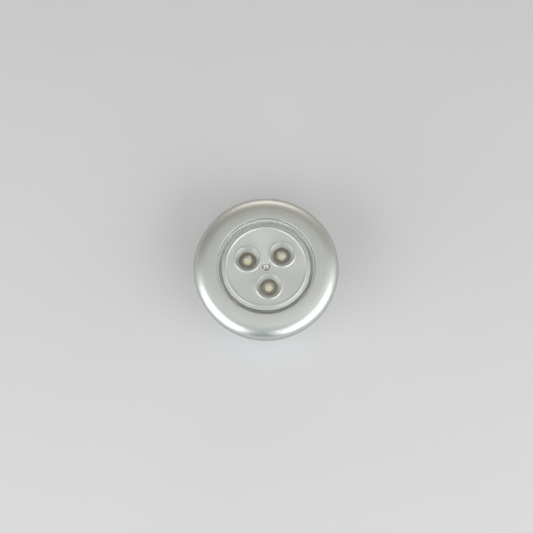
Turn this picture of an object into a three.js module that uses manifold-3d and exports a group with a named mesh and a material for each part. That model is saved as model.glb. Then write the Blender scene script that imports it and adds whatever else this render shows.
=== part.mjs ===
// Puck light: a stick-on touch lamp with three LEDs, a clear push lens, three slim cells in series
// and a twist-off back cover. Lengths are in millimetres. +Z points out of the lens, +Y is up on the
// wall, and the origin is the middle of the adhesive face.
import * as THREE from 'three'
import { mergeVertices } from 'three/addons/utils/BufferGeometryUtils.js'
import Module from 'manifold-3d'

const wasm = await Module()
wasm.setup()

// Angles and facets
const fullTurn = 2 * Math.PI
const quarterTurn = fullTurn / 4
const degree = fullTurn / 360
const bodySegments = 60
const cupSegments = 24
const cellSegments = 20
const ledSegments = 16
const smallSegments = 12
const holeSegments = 8
const wireSides = 6
const coilSides = 5
const coilSidesPerTurn = 8
const arcSteps = 4
const tipSteps = 3
const lipSteps = 2
const weld = 1e-5
const cutOverrun = 1

// Gaps: seated pieces touch or keep the seat gap, moving pieces keep the running gap
const seatGap = 0.1
const runningGap = 0.3

// Adhesive pad and back cover
const padDiameter = 44
const padThickness = 1
const padRecess = 0.4
const coverThickness = 1.6
const coverRimGap = 0.4
const coverChamfer = 0.4
const thumbRecessRadius = 3
const thumbRecessDepth = 0.7

// Bayonet of the back cover
const lugCount = 2
const lugSpan = 24 * degree
const notchSpan = 28 * degree
const coverTwist = 30 * degree
const lugOverlap = 0.7
const lugWall = 1.2
const lugThickness = 1.2
const lugStopWidth = 2.5 * degree
const lugStopPlay = 1 * degree

// Slim cells, side by side, with their ends turned about
const cellCount = 3
const cellDiameter = 10.5
const cellLength = 44.5
const cellShoulder = 0.9
const cellNubDiameter = 3.8
const cellNubHeight = 0.9
const cellGap = 0.3
const cellToCoverGap = 0.4
const cellToDeckGap = 0.3

// Battery contacts
const contactThickness = 0.4
const contactWidth = 6
const contactHeight = 8
const dimpleHeight = 0.6
const dimpleDiameter = 3.4
const springLength = 3.1
const springWire = 0.45
const springTurns = 2.75
const springBaseDiameter = 6.2
const springTipDiameter = 3.6
const terminalTabWidth = 2.4
const terminalTabRise = 1.5

// Rear housing
const housingWall = 1.2
const housingBackInset = 0.2
const housingBackEdge = 0.3
const lipHeight = 3.1
const lipWidth = 1.9
const mouthClearance = 0.32
const housingFlare = 3.5
const rimOverhang = 0.6
const rimThickness = 0.6
const spigotWall = 1
const spigotHeight = 1.2
const spigotGap = 0.4
const deckThickness = 1
const bayWall = 1
const bayEndWall = 1.2
const dividerThickness = 1
const dividerDepth = 2.2
const railThickness = 0.8
const railDepth = 1

// Circuit board and its screws
const boardDiameter = 38
const boardThickness = 1
const boardStandoff = 1
const boardScrewCircle = 33.6
const boardScrewCount = 3
const boardBossDiameter = 4.4
const boardScrewDiameter = 1.9
const boardScrewLength = 2.5
const boardScrewHeadDiameter = 3.6
const boardScrewHeadHeight = 1.2

// LEDs
const ledCount = 3
const ledDiameter = 5
const ledFlangeDiameter = 5.8
const ledFlangeHeight = 0.9
const ledHeight = 4.8
const ledDomeHeight = 2.3
const ledWall = 0.6
const ledCavityHeight = 2.6
const leadPitch = 2.54
const leadThickness = 0.5
const leadTail = 0.5
const leadHoleDiameter = 1.1
const ledCupDiameter = 2
const ledCupHeight = 0.7
const ledCupRise = 0.6
const chipDiameter = 1.8
const chipHeight = 0.4

// Lens, which is pushed in
const pushTravel = 1.5
const pushClearance = 0.3
const lensThickness = 1.4
const lensCrown = 0.2
const lensShoulderWidth = 3.1
const lensShoulderDrop = 2.5
const lensSkirt = 1.2
const flangeWidth = 2.2
const flangeThickness = 1
const lensPostDiameter = 3.2
const clipCount = 3
const clipSpan = 10 * degree
const clipReach = 0.4
const clipThickness = 0.3
const clipPlay = 1 * degree

// Reflector plate with its cups, turned a little from upright
const patternTurn = 8 * degree
const firstCupAngle = 30 * degree
const cupCircle = 18.6
const cupMouthDiameter = 11.2
const cupBoreDiameter = 8.2
const cupLipWidth = 0.6
const cupLipHeight = 0.5
const cupConeDepth = 2
const cupDepth = 3.8
const cupWall = 0.8
const reflectorThickness = 1
const reflectorWall = 0.8
const reflectorRimThickness = 0.7
const postHoleGap = 0.2

// Front ring
const faceWidth = 4.1
const lensGap = 0.8
const ringWall = 1.6
const ringInset = 0.2
const ringHeight = 7.2
const shoulderWidth = 7
const shoulderDrop = 6
const ringLip = 2.5
const ringLipWidth = 2.3
const ringLipEdge = 0.3
const ringFootEdge = 0.3
const seamGap = 0.3

// Housing screws, which come from behind and bite in bosses of the ring
const housingScrewAngles = [55, 125, 235, 305].map((angle) => angle * degree)
const bossDiameter = 4.6
const bossGap = 0.4
const bossBite = 0.3
const postWall = 1
const screwDiameter = 2.2
const screwLength = 8
const screwHeadDiameter = 4
const screwHeadHeight = 1.3
const screwPlay = 0.15
const screwSeatThickness = 2
const counterboreDepth = 2.4
const screwTipLength = 0.6
const recessWidth = 0.6
const recessDepth = 0.7

// Latching switch
const switchSide = 5.2
const switchHeight = 3.1
const switchFloor = 0.3
const switchRoof = 0.5
const plungerDiameter = 2.8
const plungerFootDiameter = 3.6
const plungerFootHeight = 0.4
const plungerWall = 0.45
const plungerRoof = 0.6
const returnSpringDiameter = 1.4
const returnSpringWire = 0.2
const returnSpringTurns = 5
const pinThickness = 0.4
const pinInset = 0.8
const pinTail = 0.5

// Resistor and leads
const resistorDiameter = 2.2
const resistorWaistDiameter = 1.8
const resistorLength = 6
const resistorLegDiameter = 0.6
const resistorLegReach = 1
const leadDiameter = 1.2
const leadSwing = 20 * degree

// Places along Z, from the wall outwards
const coverBackZ = padThickness - padRecess
const coverInsideZ = coverBackZ + coverThickness
const housingBackZ = coverBackZ + housingBackInset
const lipTopZ = housingBackZ + lipHeight
const lugUnderZ = lipTopZ + runningGap
const lugTopZ = lugUnderZ + lugThickness
const cellRadius = cellDiameter / 2
const cellAxisZ = coverInsideZ + cellToCoverGap + cellRadius
const deckUnderZ = cellAxisZ + cellRadius + cellToDeckGap
const deckTopZ = deckUnderZ + deckThickness
const screwSeatZ = deckUnderZ - screwSeatThickness
const boardUnderZ = deckTopZ + boardStandoff
const boardTopZ = boardUnderZ + boardThickness
const ledTipZ = boardTopZ + ledHeight
const ledCupTopZ = boardTopZ + ledCupRise + ledCupHeight
const lensUnderZ = ledTipZ + pushTravel + pushClearance
const faceZ = lensUnderZ + lensThickness
const ringFootZ = faceZ - ringHeight
const housingTopZ = ringFootZ - seamGap
const ringLipUnderZ = faceZ - ringLip
const flangeTopZ = ringLipUnderZ - runningGap
const flangeUnderZ = flangeTopZ - flangeThickness
const lipCrestZ = lensUnderZ - runningGap
const reflectorFaceZ = lipCrestZ - cupLipHeight
const reflectorUnderZ = reflectorFaceZ - reflectorThickness
const reflectorRimTopZ = flangeUnderZ - seatGap
const cupFootZ = reflectorFaceZ - cupDepth
const switchTopZ = boardTopZ + switchHeight
const plungerTopZ = switchTopZ + pushTravel + 2 * seatGap
const postFootZ = plungerTopZ + seatGap

// Places across, from the axis outwards
const cellPitch = cellDiameter + cellGap
const cellRow = [...Array(cellCount).keys()].map((i) => (i - (cellCount - 1) / 2) * cellPitch)
const bayHalfWidth = cellRow[cellCount - 1] + cellRadius + cellGap
const bayHalfLength = (cellLength + springLength + dimpleHeight + seatGap) / 2 + contactThickness + seatGap
const contactFaceX = bayHalfLength - seatGap - contactThickness
const cellTipX = contactFaceX - dimpleHeight - seatGap
const cellCorner = Math.hypot(cellTipX - cellNubHeight, cellRow[cellCount - 1] + cellRadius)
const mouthRadius = cellCorner + mouthClearance
const coverRadius = mouthRadius - coverRimGap
const lugRadius = mouthRadius + lugOverlap
const housingBackRadius = mouthRadius + lipWidth
const housingShoulderRadius = housingBackRadius + housingFlare
const rimRadius = housingShoulderRadius + rimOverhang
const ringRadius = rimRadius - ringInset
const ringInnerRadius = ringRadius - ringWall
const spigotRadius = ringInnerRadius - spigotGap
const upperInnerRadius = spigotRadius - spigotWall
const faceOuterRadius = ringRadius - shoulderWidth
const openingRadius = faceOuterRadius - faceWidth
const lensRadius = openingRadius - lensGap
const lensFlatRadius = lensRadius - lensShoulderWidth
const lensInnerRadius = lensRadius - lensSkirt
const flangeRadius = lensRadius + flangeWidth
const reflectorRadius = lensInnerRadius - runningGap
const reflectorRimRadius = flangeRadius - runningGap
const bossRadius = bossDiameter / 2
const screwCircleRadius = flangeRadius + bossGap + bossRadius
const cupAngles = [...Array(ledCount).keys()].map(
  (i) => firstCupAngle + patternTurn + (i * fullTurn) / ledCount
)
const boardScrewAngles = [...Array(boardScrewCount).keys()].map(
  (i) => cupAngles[0] + fullTurn / (2 * ledCount) + (i * fullTurn) / boardScrewCount
)
const clipAngles = [...Array(clipCount).keys()].map((i) => boardScrewAngles[0] + (i * fullTurn) / clipCount)
const coneRise = (housingShoulderRadius - housingBackRadius) / (housingTopZ - rimThickness - housingBackZ)

// Turning a closed geometry into a solid, whichever way its outline was drawn
function solidOf(geometry) {
  const bare = geometry.clone()
  bare.deleteAttribute('normal')
  bare.deleteAttribute('uv')
  const merged = mergeVertices(bare, weld)
  const points = merged.attributes.position.array
  const corners = merged.index.array
  const kept = []
  let volume = 0
  for (let i = 0; i < corners.length; i += 3) {
    const [a, b, c] = corners.slice(i, i + 3)
    if (a === b || b === c || c === a) continue
    kept.push(a, b, c)
    const [p, q, r] = [a, b, c].map((k) => new THREE.Vector3().fromArray(points, 3 * k))
    volume += p.dot(q.cross(r))
  }
  if (volume < 0) kept.reverse()
  return new wasm.Manifold(
    new wasm.Mesh({ numProp: 3, vertProperties: new Float32Array(points), triVerts: new Uint32Array(kept) })
  )
}

// Joining solids, and cutting tools out of one
const join = (first, ...others) => others.reduce((sum, solid) => sum.add(solid), first)
const cut = (first, ...tools) => tools.reduce((rest, tool) => rest.subtract(tool), first)

// Turning a finished solid back into a geometry
function geometryOf(solid) {
  const mesh = solid.getMesh()
  const geometry = new THREE.BufferGeometry()
  geometry.setAttribute('position', new THREE.BufferAttribute(new Float32Array(mesh.vertProperties), 3))
  geometry.setIndex(new THREE.BufferAttribute(new Uint32Array(mesh.triVerts), 1))
  geometry.computeVertexNormals()
  return geometry
}

// A point at a distance from the axis and an angle
const around = (radius, angle) => [radius * Math.cos(angle), radius * Math.sin(angle)]

// Part of an ellipse, as points of an outline
function arc(centreR, centreZ, wide, high, from, to, steps = arcSteps) {
  return [...Array(steps + 1).keys()].map((i) => {
    const angle = from + ((to - from) * i) / steps
    return [centreR + wide * Math.cos(angle), centreZ + high * Math.sin(angle)]
  })
}

// A turned piece about Z, from points given as distance from the axis and height
function turned(outline, segments = bodySegments) {
  const points = outline.map(([r, z]) => new THREE.Vector2(r, z))
  return new THREE.LatheGeometry(points, segments).rotateX(quarterTurn)
}

// A turned piece whose outline closes on itself
const turnedRing = (outline, segments = bodySegments) => turned([...outline, outline[0]], segments)

// A round bar along Z
function bar(radius, lowZ, highZ, segments = smallSegments, x = 0, y = 0) {
  const geometry = new THREE.CylinderGeometry(radius, radius, highZ - lowZ, segments)
  return geometry.rotateX(quarterTurn).translate(x, y, (lowZ + highZ) / 2)
}

// A block between two corners
function block([lowX, lowY, lowZ], [highX, highY, highZ]) {
  const geometry = new THREE.BoxGeometry(highX - lowX, highY - lowY, highZ - lowZ)
  return geometry.translate((lowX + highX) / 2, (lowY + highY) / 2, (lowZ + highZ) / 2)
}

// A piece of a ring wall, centred on an angle
function sector(innerRadius, outerRadius, lowZ, highZ, middle, span) {
  const shape = new THREE.Shape()
  shape.absarc(0, 0, outerRadius, middle - span / 2, middle + span / 2, false)
  shape.absarc(0, 0, innerRadius, middle + span / 2, middle - span / 2, true)
  const geometry = new THREE.ExtrudeGeometry(shape, {
    depth: highZ - lowZ,
    bevelEnabled: false,
    curveSegments: arcSteps
  })
  return geometry.translate(0, 0, lowZ)
}

// A round section drawn out along a curve
function tube(curve, radius, steps, sides = wireSides) {
  const section = new THREE.Shape(
    [...Array(sides).keys()].map((i) => new THREE.Vector2(...around(radius, (i * fullTurn) / sides)))
  )
  return new THREE.ExtrudeGeometry(section, { steps, bevelEnabled: false, extrudePath: curve })
}

// A coil about Z whose radius runs from one value to another
class Coil extends THREE.Curve {
  constructor(firstRadius, lastRadius, lowZ, highZ, turns) {
    super()
    Object.assign(this, { firstRadius, lastRadius, lowZ, highZ, turns })
  }

  getPoint(t) {
    const radius = this.firstRadius + (this.lastRadius - this.firstRadius) * t
    const [x, y] = around(radius, t * this.turns * fullTurn)
    return new THREE.Vector3(x, y, this.lowZ + (this.highZ - this.lowZ) * t)
  }
}

const coilTube = (coil, wire) => tube(coil, wire / 2, Math.round(coil.turns * coilSidesPerTurn), coilSides)

// Outer radius of the housing's cone at a height
const coneRadius = (z) => housingBackRadius + (z - housingBackZ) * coneRise

// Front ring: flat matte face, rounded shoulder, lip around the opening and four screw bosses
function frontRing() {
  const shoulderZ = faceZ - shoulderDrop
  const edge = ringLipEdge
  const bodyOutline = [
    [ringInnerRadius, ringFootZ],
    [ringRadius - ringFootEdge, ringFootZ],
    [ringRadius, ringFootZ + ringFootEdge],
    ...arc(faceOuterRadius, shoulderZ, shoulderWidth, shoulderDrop, 0, quarterTurn, 2 * arcSteps),
    ...arc(openingRadius + edge, faceZ - edge, edge, edge, quarterTurn, 2 * quarterTurn, lipSteps),
    [openingRadius, ringLipUnderZ],
    [openingRadius + ringLipWidth, ringLipUnderZ],
    [openingRadius + ringLipWidth, faceZ - ringWall],
    ...arc(faceOuterRadius, shoulderZ, shoulderWidth - ringWall, shoulderDrop - ringWall, quarterTurn, 0)
  ]
  const bosses = housingScrewAngles.map((angle) => {
    const [x, y] = around(screwCircleRadius, angle)
    return solidOf(bar(bossRadius, deckTopZ + runningGap, faceZ - ringWall + bossBite, smallSegments, x, y))
  })
  const holes = housingScrewAngles.map((angle) => {
    const [x, y] = around(screwCircleRadius, angle)
    const tipZ = screwSeatZ + screwLength + runningGap
    return solidOf(bar(screwDiameter / 2 + screwPlay, deckTopZ, tipZ, smallSegments, x, y))
  })
  return geometryOf(cut(join(solidOf(turnedRing(bodyOutline)), ...bosses), ...holes))
}

// Rear housing: flared wall, rim under the ring, deck between cells and board, battery bay behind
function baseShell() {
  const innerRadius = (z) => coneRadius(z) - housingWall
  const coneTopZ = housingTopZ - rimThickness - rimOverhang / 2
  const outline = [
    [0, deckUnderZ],
    [innerRadius(deckUnderZ), deckUnderZ],
    [innerRadius(lipTopZ), lipTopZ],
    [mouthRadius, lipTopZ],
    [mouthRadius, housingBackZ],
    [housingBackRadius - housingBackEdge, housingBackZ],
    [housingBackRadius, housingBackZ + housingBackEdge],
    [housingShoulderRadius, coneTopZ],
    [rimRadius, housingTopZ - rimThickness],
    [rimRadius, housingTopZ],
    [spigotRadius, housingTopZ],
    [spigotRadius, housingTopZ + spigotHeight],
    [upperInnerRadius, housingTopZ + spigotHeight],
    [upperInnerRadius, deckTopZ],
    [0, deckTopZ]
  ]
  const inside = [
    ...bayWalls(),
    ...contactRails(),
    ...housingScrewAngles.map((angle) => {
      const [x, y] = around(screwCircleRadius, angle)
      const radius = screwHeadDiameter / 2 + screwPlay + postWall
      return solidOf(bar(radius, screwSeatZ - counterboreDepth, deckUnderZ + weld, smallSegments, x, y))
    }),
    ...lugStops()
  ]
  const envelope = turned([
    [0, housingBackZ],
    [housingBackRadius - housingWall / 2, housingBackZ],
    [coneRadius(deckTopZ) - housingWall / 2, deckTopZ],
    [0, deckTopZ]
  ])
  const fitted = join(...inside).intersect(solidOf(envelope))
  const boardBosses = boardScrewAngles.map((angle) => {
    const [x, y] = around(boardScrewCircle / 2, angle)
    return solidOf(bar(boardBossDiameter / 2, deckUnderZ, boardUnderZ, smallSegments, x, y))
  })
  return geometryOf(cut(join(solidOf(turned(outline)), fitted, ...boardBosses), ...housingCuts()))
}

// Walls and dividers of the battery bay, hanging from the deck
function bayWalls() {
  const endX = bayHalfLength + bayEndWall
  const sideY = bayHalfWidth + bayWall
  const sideFootZ = deckUnderZ - cellRadius - cellToDeckGap
  const walls = [-1, 1].flatMap((side) => [
    block(
      [Math.min(side * bayHalfLength, side * endX), -sideY, lipTopZ - weld],
      [Math.max(side * bayHalfLength, side * endX), sideY, deckTopZ - weld]
    ),
    block(
      [-endX, Math.min(side * bayHalfWidth, side * sideY), sideFootZ],
      [endX, Math.max(side * bayHalfWidth, side * sideY), deckTopZ - weld]
    )
  ])
  const dividerEndX = contactFaceX - springLength
  const dividers = cellRow.slice(1).map((y) => {
    const middleY = y - cellPitch / 2
    return block(
      [-dividerEndX, middleY - dividerThickness / 2, deckUnderZ - dividerDepth],
      [dividerEndX, middleY + dividerThickness / 2, deckTopZ - weld]
    )
  })
  return [...walls, ...dividers].map(solidOf)
}

// Low rails on the end walls, which hold each contact plate sideways
function contactRails() {
  const edges = contactPlates().flatMap(({ side, lowY, highY }) => [
    { side, lowY: lowY - seatGap - railThickness, highY: lowY - seatGap },
    { side, lowY: highY + seatGap, highY: highY + seatGap + railThickness }
  ])
  return edges.map(({ side, lowY, highY }) => {
    const nearX = side * (bayHalfLength - railDepth)
    const farX = side * (bayHalfLength + bayEndWall / 2)
    return solidOf(
      block(
        [Math.min(nearX, farX), lowY, cellAxisZ - contactHeight / 2],
        [Math.max(nearX, farX), highY, deckUnderZ + weld]
      )
    )
  })
}

// Where the contact plates stand: which end, which rows they span, and which of them are terminals
function contactPlates() {
  const first = cellRow[0]
  const middle = cellRow[1]
  const last = cellRow[cellCount - 1]
  const plates = [
    { name: 'negative_terminal', side: -1, from: last, to: last, tab: last },
    { name: 'link_plate_1', side: 1, from: middle, to: last, dimple: last },
    { name: 'link_plate_2', side: -1, from: first, to: middle, dimple: middle },
    { name: 'positive_terminal', side: 1, from: first, to: first, tab: first, dimple: first }
  ]
  return plates.map((plate) => ({
    ...plate,
    lowY: plate.from - contactWidth / 2,
    highY: plate.to + contactWidth / 2
  }))
}

// Small walls above the lip, where a lug stops when the cover is locked and when it is open
function lugStops() {
  const reach = lugSpan / 2 + lugStopPlay + lugStopWidth / 2
  return lugAngles().flatMap((angle) =>
    [angle - reach, angle + coverTwist + reach].map((middle) =>
      solidOf(sector(mouthRadius, rimRadius, lipTopZ - weld, lugTopZ, middle, lugStopWidth))
    )
  )
}

// Middle angle of each lug when the cover is locked
const lugAngles = () => [...Array(lugCount).keys()].map((i) => quarterTurn + (i * fullTurn) / lugCount)

// Notches of the bayonet, screw holes with a screwdriver's way past the lip, board screw holes, tab slots
function housingCuts() {
  const notches = lugAngles().map((angle) =>
    sector(
      mouthRadius - cutOverrun,
      lugRadius + runningGap,
      housingBackZ - cutOverrun,
      lipTopZ + weld,
      angle + coverTwist,
      notchSpan
    )
  )
  const screwHoles = housingScrewAngles.flatMap((angle) => {
    const [x, y] = around(screwCircleRadius, angle)
    const radius = screwDiameter / 2 + screwPlay
    const headRadius = screwHeadDiameter / 2 + screwPlay
    return [
      bar(radius, screwSeatZ - cutOverrun, deckTopZ + cutOverrun, smallSegments, x, y),
      bar(headRadius, housingBackZ - cutOverrun, screwSeatZ, smallSegments, x, y)
    ]
  })
  const boardHoles = boardScrewAngles.map((angle) => {
    const [x, y] = around(boardScrewCircle / 2, angle)
    const radius = boardScrewDiameter / 2 + screwPlay
    return bar(radius, deckUnderZ - cutOverrun, boardUnderZ + cutOverrun, smallSegments, x, y)
  })
  const tabSlots = contactPlates()
    .filter((plate) => plate.tab !== undefined)
    .map(({ side, tab }) => {
      const nearX = side * (contactFaceX - seatGap)
      const farX = side * (bayHalfLength + seatGap)
      const halfWidth = terminalTabWidth / 2 + runningGap
      return block(
        [Math.min(nearX, farX), tab - halfWidth, deckUnderZ - weld],
        [Math.max(nearX, farX), tab + halfWidth, deckTopZ + cutOverrun]
      )
    })
  return [...notches, ...screwHoles, ...boardHoles, ...tabSlots].map(solidOf)
}

// Back cover: a disc with a recess for the pad, two lugs on short walls and two thumb recesses
function backCover() {
  const outline = [
    [0, coverBackZ + padRecess],
    [padDiameter / 2 + runningGap, coverBackZ + padRecess],
    [padDiameter / 2 + runningGap, coverBackZ],
    [coverRadius - coverChamfer, coverBackZ],
    [coverRadius, coverBackZ + coverChamfer],
    [coverRadius, coverInsideZ],
    [0, coverInsideZ]
  ]
  const lugs = lugAngles().flatMap((angle) => [
    sector(coverRadius - lugWall, coverRadius, coverInsideZ - coverChamfer, lugTopZ, angle, lugSpan),
    sector(coverRadius - lugWall / 2, lugRadius, lugUnderZ, lugTopZ, angle, lugSpan)
  ])
  const thumbRecesses = [0, 2 * quarterTurn].map((angle) => {
    const [x, y] = around((padDiameter / 2 + coverRadius) / 2, angle)
    const widest = (coverRadius - padDiameter / 2) / 2 - coverChamfer
    const radius = Math.min(thumbRecessRadius, widest)
    return bar(radius, coverBackZ - cutOverrun, coverBackZ + thumbRecessDepth, smallSegments, x, y)
  })
  const disc = join(solidOf(turned(outline)), ...lugs.map(solidOf))
  return geometryOf(cut(disc, ...thumbRecesses.map(solidOf)))
}

// Round foam pad
const adhesivePad = () => bar(padDiameter / 2, 0, padThickness, bodySegments)

// Clear lens: crowned face, rounded shoulder, skirt with a holding flange, clips and a centre post
function lensCover() {
  const crownShares = [0, 1 / 2]
  const crown = crownShares.map((share) => [
    lensFlatRadius * share,
    faceZ + lensCrown * (1 - share * share)
  ])
  const shoulderZ = faceZ - lensShoulderDrop
  const insideWidth = lensShoulderWidth - lensSkirt
  const insideDrop = lensShoulderDrop - lensThickness
  const outline = [
    ...crown,
    ...arc(lensFlatRadius, shoulderZ, lensShoulderWidth, lensShoulderDrop, quarterTurn, 0),
    [lensRadius, flangeTopZ],
    [flangeRadius, flangeTopZ],
    [flangeRadius, flangeUnderZ],
    [lensInnerRadius, flangeUnderZ],
    ...arc(lensFlatRadius, shoulderZ, insideWidth, insideDrop, 0, quarterTurn),
    [0, lensUnderZ]
  ]
  const post = bar(lensPostDiameter / 2, postFootZ, lensUnderZ + weld, smallSegments)
  const clips = clipAngles.map((angle) =>
    sector(
      reflectorRadius - clipReach,
      lensInnerRadius + lensSkirt / 2,
      reflectorUnderZ - seatGap - clipThickness,
      reflectorUnderZ - seatGap,
      angle,
      clipSpan
    )
  )
  return geometryOf(join(solidOf(turned(outline)), solidOf(post), ...clips.map(solidOf)))
}

// Reflector plate: rim stepped down under the lens flange, windows for the clips, post hole and cups
function reflectorPlate() {
  const wallInnerRadius = reflectorRadius - reflectorWall
  const plateOutline = [
    [0, reflectorUnderZ],
    [wallInnerRadius, reflectorUnderZ],
    [wallInnerRadius, reflectorRimTopZ - reflectorRimThickness],
    [reflectorRimRadius, reflectorRimTopZ - reflectorRimThickness],
    [reflectorRimRadius, reflectorRimTopZ],
    [reflectorRadius, reflectorRimTopZ],
    [reflectorRadius, reflectorFaceZ],
    [0, reflectorFaceZ]
  ]
  const mouth = cupMouthDiameter / 2
  const bore = cupBoreDiameter / 2
  const crestRadius = mouth + cupLipWidth / 2
  const boreTopZ = reflectorFaceZ - cupConeDepth
  const cupOutline = [
    [bore, cupFootZ],
    [bore + cupWall, cupFootZ],
    [bore + cupWall, boreTopZ],
    [mouth, reflectorUnderZ],
    [mouth + cupLipWidth, reflectorUnderZ],
    [mouth + cupLipWidth, reflectorFaceZ],
    ...arc(crestRadius, reflectorFaceZ, cupLipWidth / 2, cupLipHeight, 0, 2 * quarterTurn).slice(1),
    [bore, boreTopZ]
  ]
  const cups = cupAngles.map((angle) => {
    const [x, y] = around(cupCircle / 2, angle)
    return turnedRing(cupOutline, cupSegments).translate(x, y, 0)
  })
  const openings = cupAngles.map((angle) => {
    const [x, y] = around(cupCircle / 2, angle)
    return bar(crestRadius, reflectorUnderZ - cutOverrun, reflectorFaceZ + cutOverrun, cupSegments, x, y)
  })
  const postHole = bar(
    lensPostDiameter / 2 + postHoleGap,
    reflectorUnderZ - cutOverrun,
    reflectorFaceZ + cutOverrun,
    smallSegments
  )
  const windows = clipAngles.map((angle) =>
    sector(
      wallInnerRadius - cutOverrun,
      reflectorRadius + cutOverrun,
      reflectorRimTopZ,
      reflectorUnderZ,
      angle,
      clipSpan + 2 * clipPlay
    )
  )
  const plate = cut(solidOf(turned(plateOutline)), ...[...openings, postHole, ...windows].map(solidOf))
  return geometryOf(join(plate, ...cups.map(solidOf)))
}

// Place of a lead beside the middle of an LED, along the circle of the cups
function leadPlace(angle, side) {
  const [x, y] = around(cupCircle / 2, angle)
  const [alongX, alongY] = around((side * leadPitch) / 2, angle + quarterTurn)
  return [x + alongX, y + alongY]
}

// Circuit board with holes for its screws, the LED leads and the switch pins
function circuitBoard() {
  const hole = (radius, x, y) =>
    solidOf(bar(radius, boardUnderZ - cutOverrun, boardTopZ + cutOverrun, holeSegments, x, y))
  const screwHoles = boardScrewAngles.map((angle) =>
    hole(boardScrewDiameter / 2 + screwPlay, ...around(boardScrewCircle / 2, angle))
  )
  const leadHoles = cupAngles.flatMap((angle) =>
    [-1, 1].map((side) => hole(leadHoleDiameter / 2, ...leadPlace(angle, side)))
  )
  const pinHoles = pinPlaces().map(([x, y]) => hole(leadHoleDiameter / 2, x, y))
  const disc = solidOf(bar(boardDiameter / 2, boardUnderZ, boardTopZ, bodySegments))
  return geometryOf(cut(disc, ...screwHoles, ...leadHoles, ...pinHoles))
}

// Cross recess of a screw head, whose bottom is at the given height and which opens the given way
function crossRecess(headRadius, topZ, way) {
  const reach = headRadius - recessWidth
  const lowZ = Math.min(topZ - way * recessDepth, topZ + way * cutOverrun)
  const highZ = Math.max(topZ - way * recessDepth, topZ + way * cutOverrun)
  const slot = block([-reach, -recessWidth / 2, lowZ], [reach, recessWidth / 2, highZ])
  return join(solidOf(slot), solidOf(slot.clone().rotateZ(quarterTurn)))
}

// Pan head screw with a cross recess, standing on Z with its head down
function housingScrew(angle) {
  const headRadius = screwHeadDiameter / 2
  const headBackZ = screwSeatZ - screwHeadHeight
  const halfHead = screwHeadHeight / 2
  const tipZ = screwSeatZ + screwLength
  const outline = [
    [0, headBackZ],
    ...arc(0, screwSeatZ - halfHead, headRadius, halfHead, -quarterTurn, 0, tipSteps).slice(1),
    [headRadius, screwSeatZ],
    [screwDiameter / 2, screwSeatZ],
    [screwDiameter / 2, tipZ - screwTipLength],
    [screwDiameter / 4, tipZ],
    [0, tipZ]
  ]
  const screw = cut(solidOf(turned(outline, holeSegments)), crossRecess(headRadius, headBackZ, -1))
  const [x, y] = around(screwCircleRadius, angle)
  return geometryOf(screw).translate(x, y, 0)
}

// Small pan head screw of the board, with its head up
function boardScrew(angle) {
  const headRadius = boardScrewHeadDiameter / 2
  const halfHead = boardScrewHeadHeight / 2
  const headTopZ = boardTopZ + boardScrewHeadHeight
  const outline = [
    [0, boardTopZ - boardScrewLength],
    [boardScrewDiameter / 2, boardTopZ - boardScrewLength],
    [boardScrewDiameter / 2, boardTopZ],
    [headRadius, boardTopZ],
    ...arc(0, headTopZ - halfHead, headRadius, halfHead, 0, quarterTurn, tipSteps)
  ]
  const screw = cut(solidOf(turned(outline, holeSegments)), crossRecess(headRadius, headTopZ, 1))
  const [x, y] = around(boardScrewCircle / 2, angle)
  return geometryOf(screw).translate(x, y, 0)
}

// Clear LED body: flange, straight wall, domed tip, and a hollow from below for the lead frame
function ledBody() {
  const radius = ledDiameter / 2
  const outline = [
    [0, boardTopZ + ledCavityHeight],
    [radius - ledWall, boardTopZ + ledCavityHeight],
    [radius - ledWall, boardTopZ],
    [ledFlangeDiameter / 2, boardTopZ],
    [ledFlangeDiameter / 2, boardTopZ + ledFlangeHeight],
    [radius, boardTopZ + ledFlangeHeight],
    ...arc(0, ledTipZ - ledDomeHeight, radius, ledDomeHeight, 0, quarterTurn)
  ]
  return geometryOf(solidOf(turned(outline, ledSegments)))
}

// Cathode lead with the cup that holds the die
function ledFrame(angle) {
  const cupLowZ = boardTopZ + ledCupRise
  const [x, y] = around(cupCircle / 2, angle)
  const lead = block(
    [-leadThickness / 2, -leadThickness / 2, boardUnderZ - leadTail],
    [leadThickness / 2, leadThickness / 2, cupLowZ]
  )
  const arm = block(
    [-leadThickness / 2, -leadPitch / 2, cupLowZ - leadThickness],
    [leadThickness / 2, 0, cupLowZ]
  )
  const frame = join(
    solidOf(lead.translate(0, -leadPitch / 2, 0)),
    solidOf(arm),
    solidOf(bar(ledCupDiameter / 2, cupLowZ - weld, ledCupTopZ, smallSegments))
  )
  return geometryOf(frame).rotateZ(angle).translate(x, y, 0)
}

// Anode lead, which stands alone beside the cup
function ledLead(angle) {
  const [x, y] = around(cupCircle / 2, angle)
  const lead = block(
    [-leadThickness / 2, leadPitch / 2 - leadThickness / 2, boardUnderZ - leadTail],
    [leadThickness / 2, leadPitch / 2 + leadThickness / 2, ledCupTopZ]
  )
  return lead.rotateZ(angle).translate(x, y, 0)
}

// Die under its drop of phosphor, in the cup
function ledChip(angle) {
  const [x, y] = around(cupCircle / 2, angle)
  const halfHeight = chipHeight / 2
  const outline = [
    [0, ledCupTopZ],
    [chipDiameter / 2, ledCupTopZ],
    ...arc(0, ledCupTopZ + halfHeight, chipDiameter / 2, halfHeight, 0, quarterTurn, lipSteps)
  ]
  return geometryOf(solidOf(turned(outline, smallSegments))).translate(x, y, 0)
}

// Places of the four switch pins
function pinPlaces() {
  const reach = switchSide / 2 - pinInset
  return [-1, 1].flatMap((a) =>
    [-1, 1].map((b) => {
      const place = new THREE.Vector2(a * reach, b * reach).rotateAround(new THREE.Vector2(), patternTurn)
      return [place.x, place.y]
    })
  )
}

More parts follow.
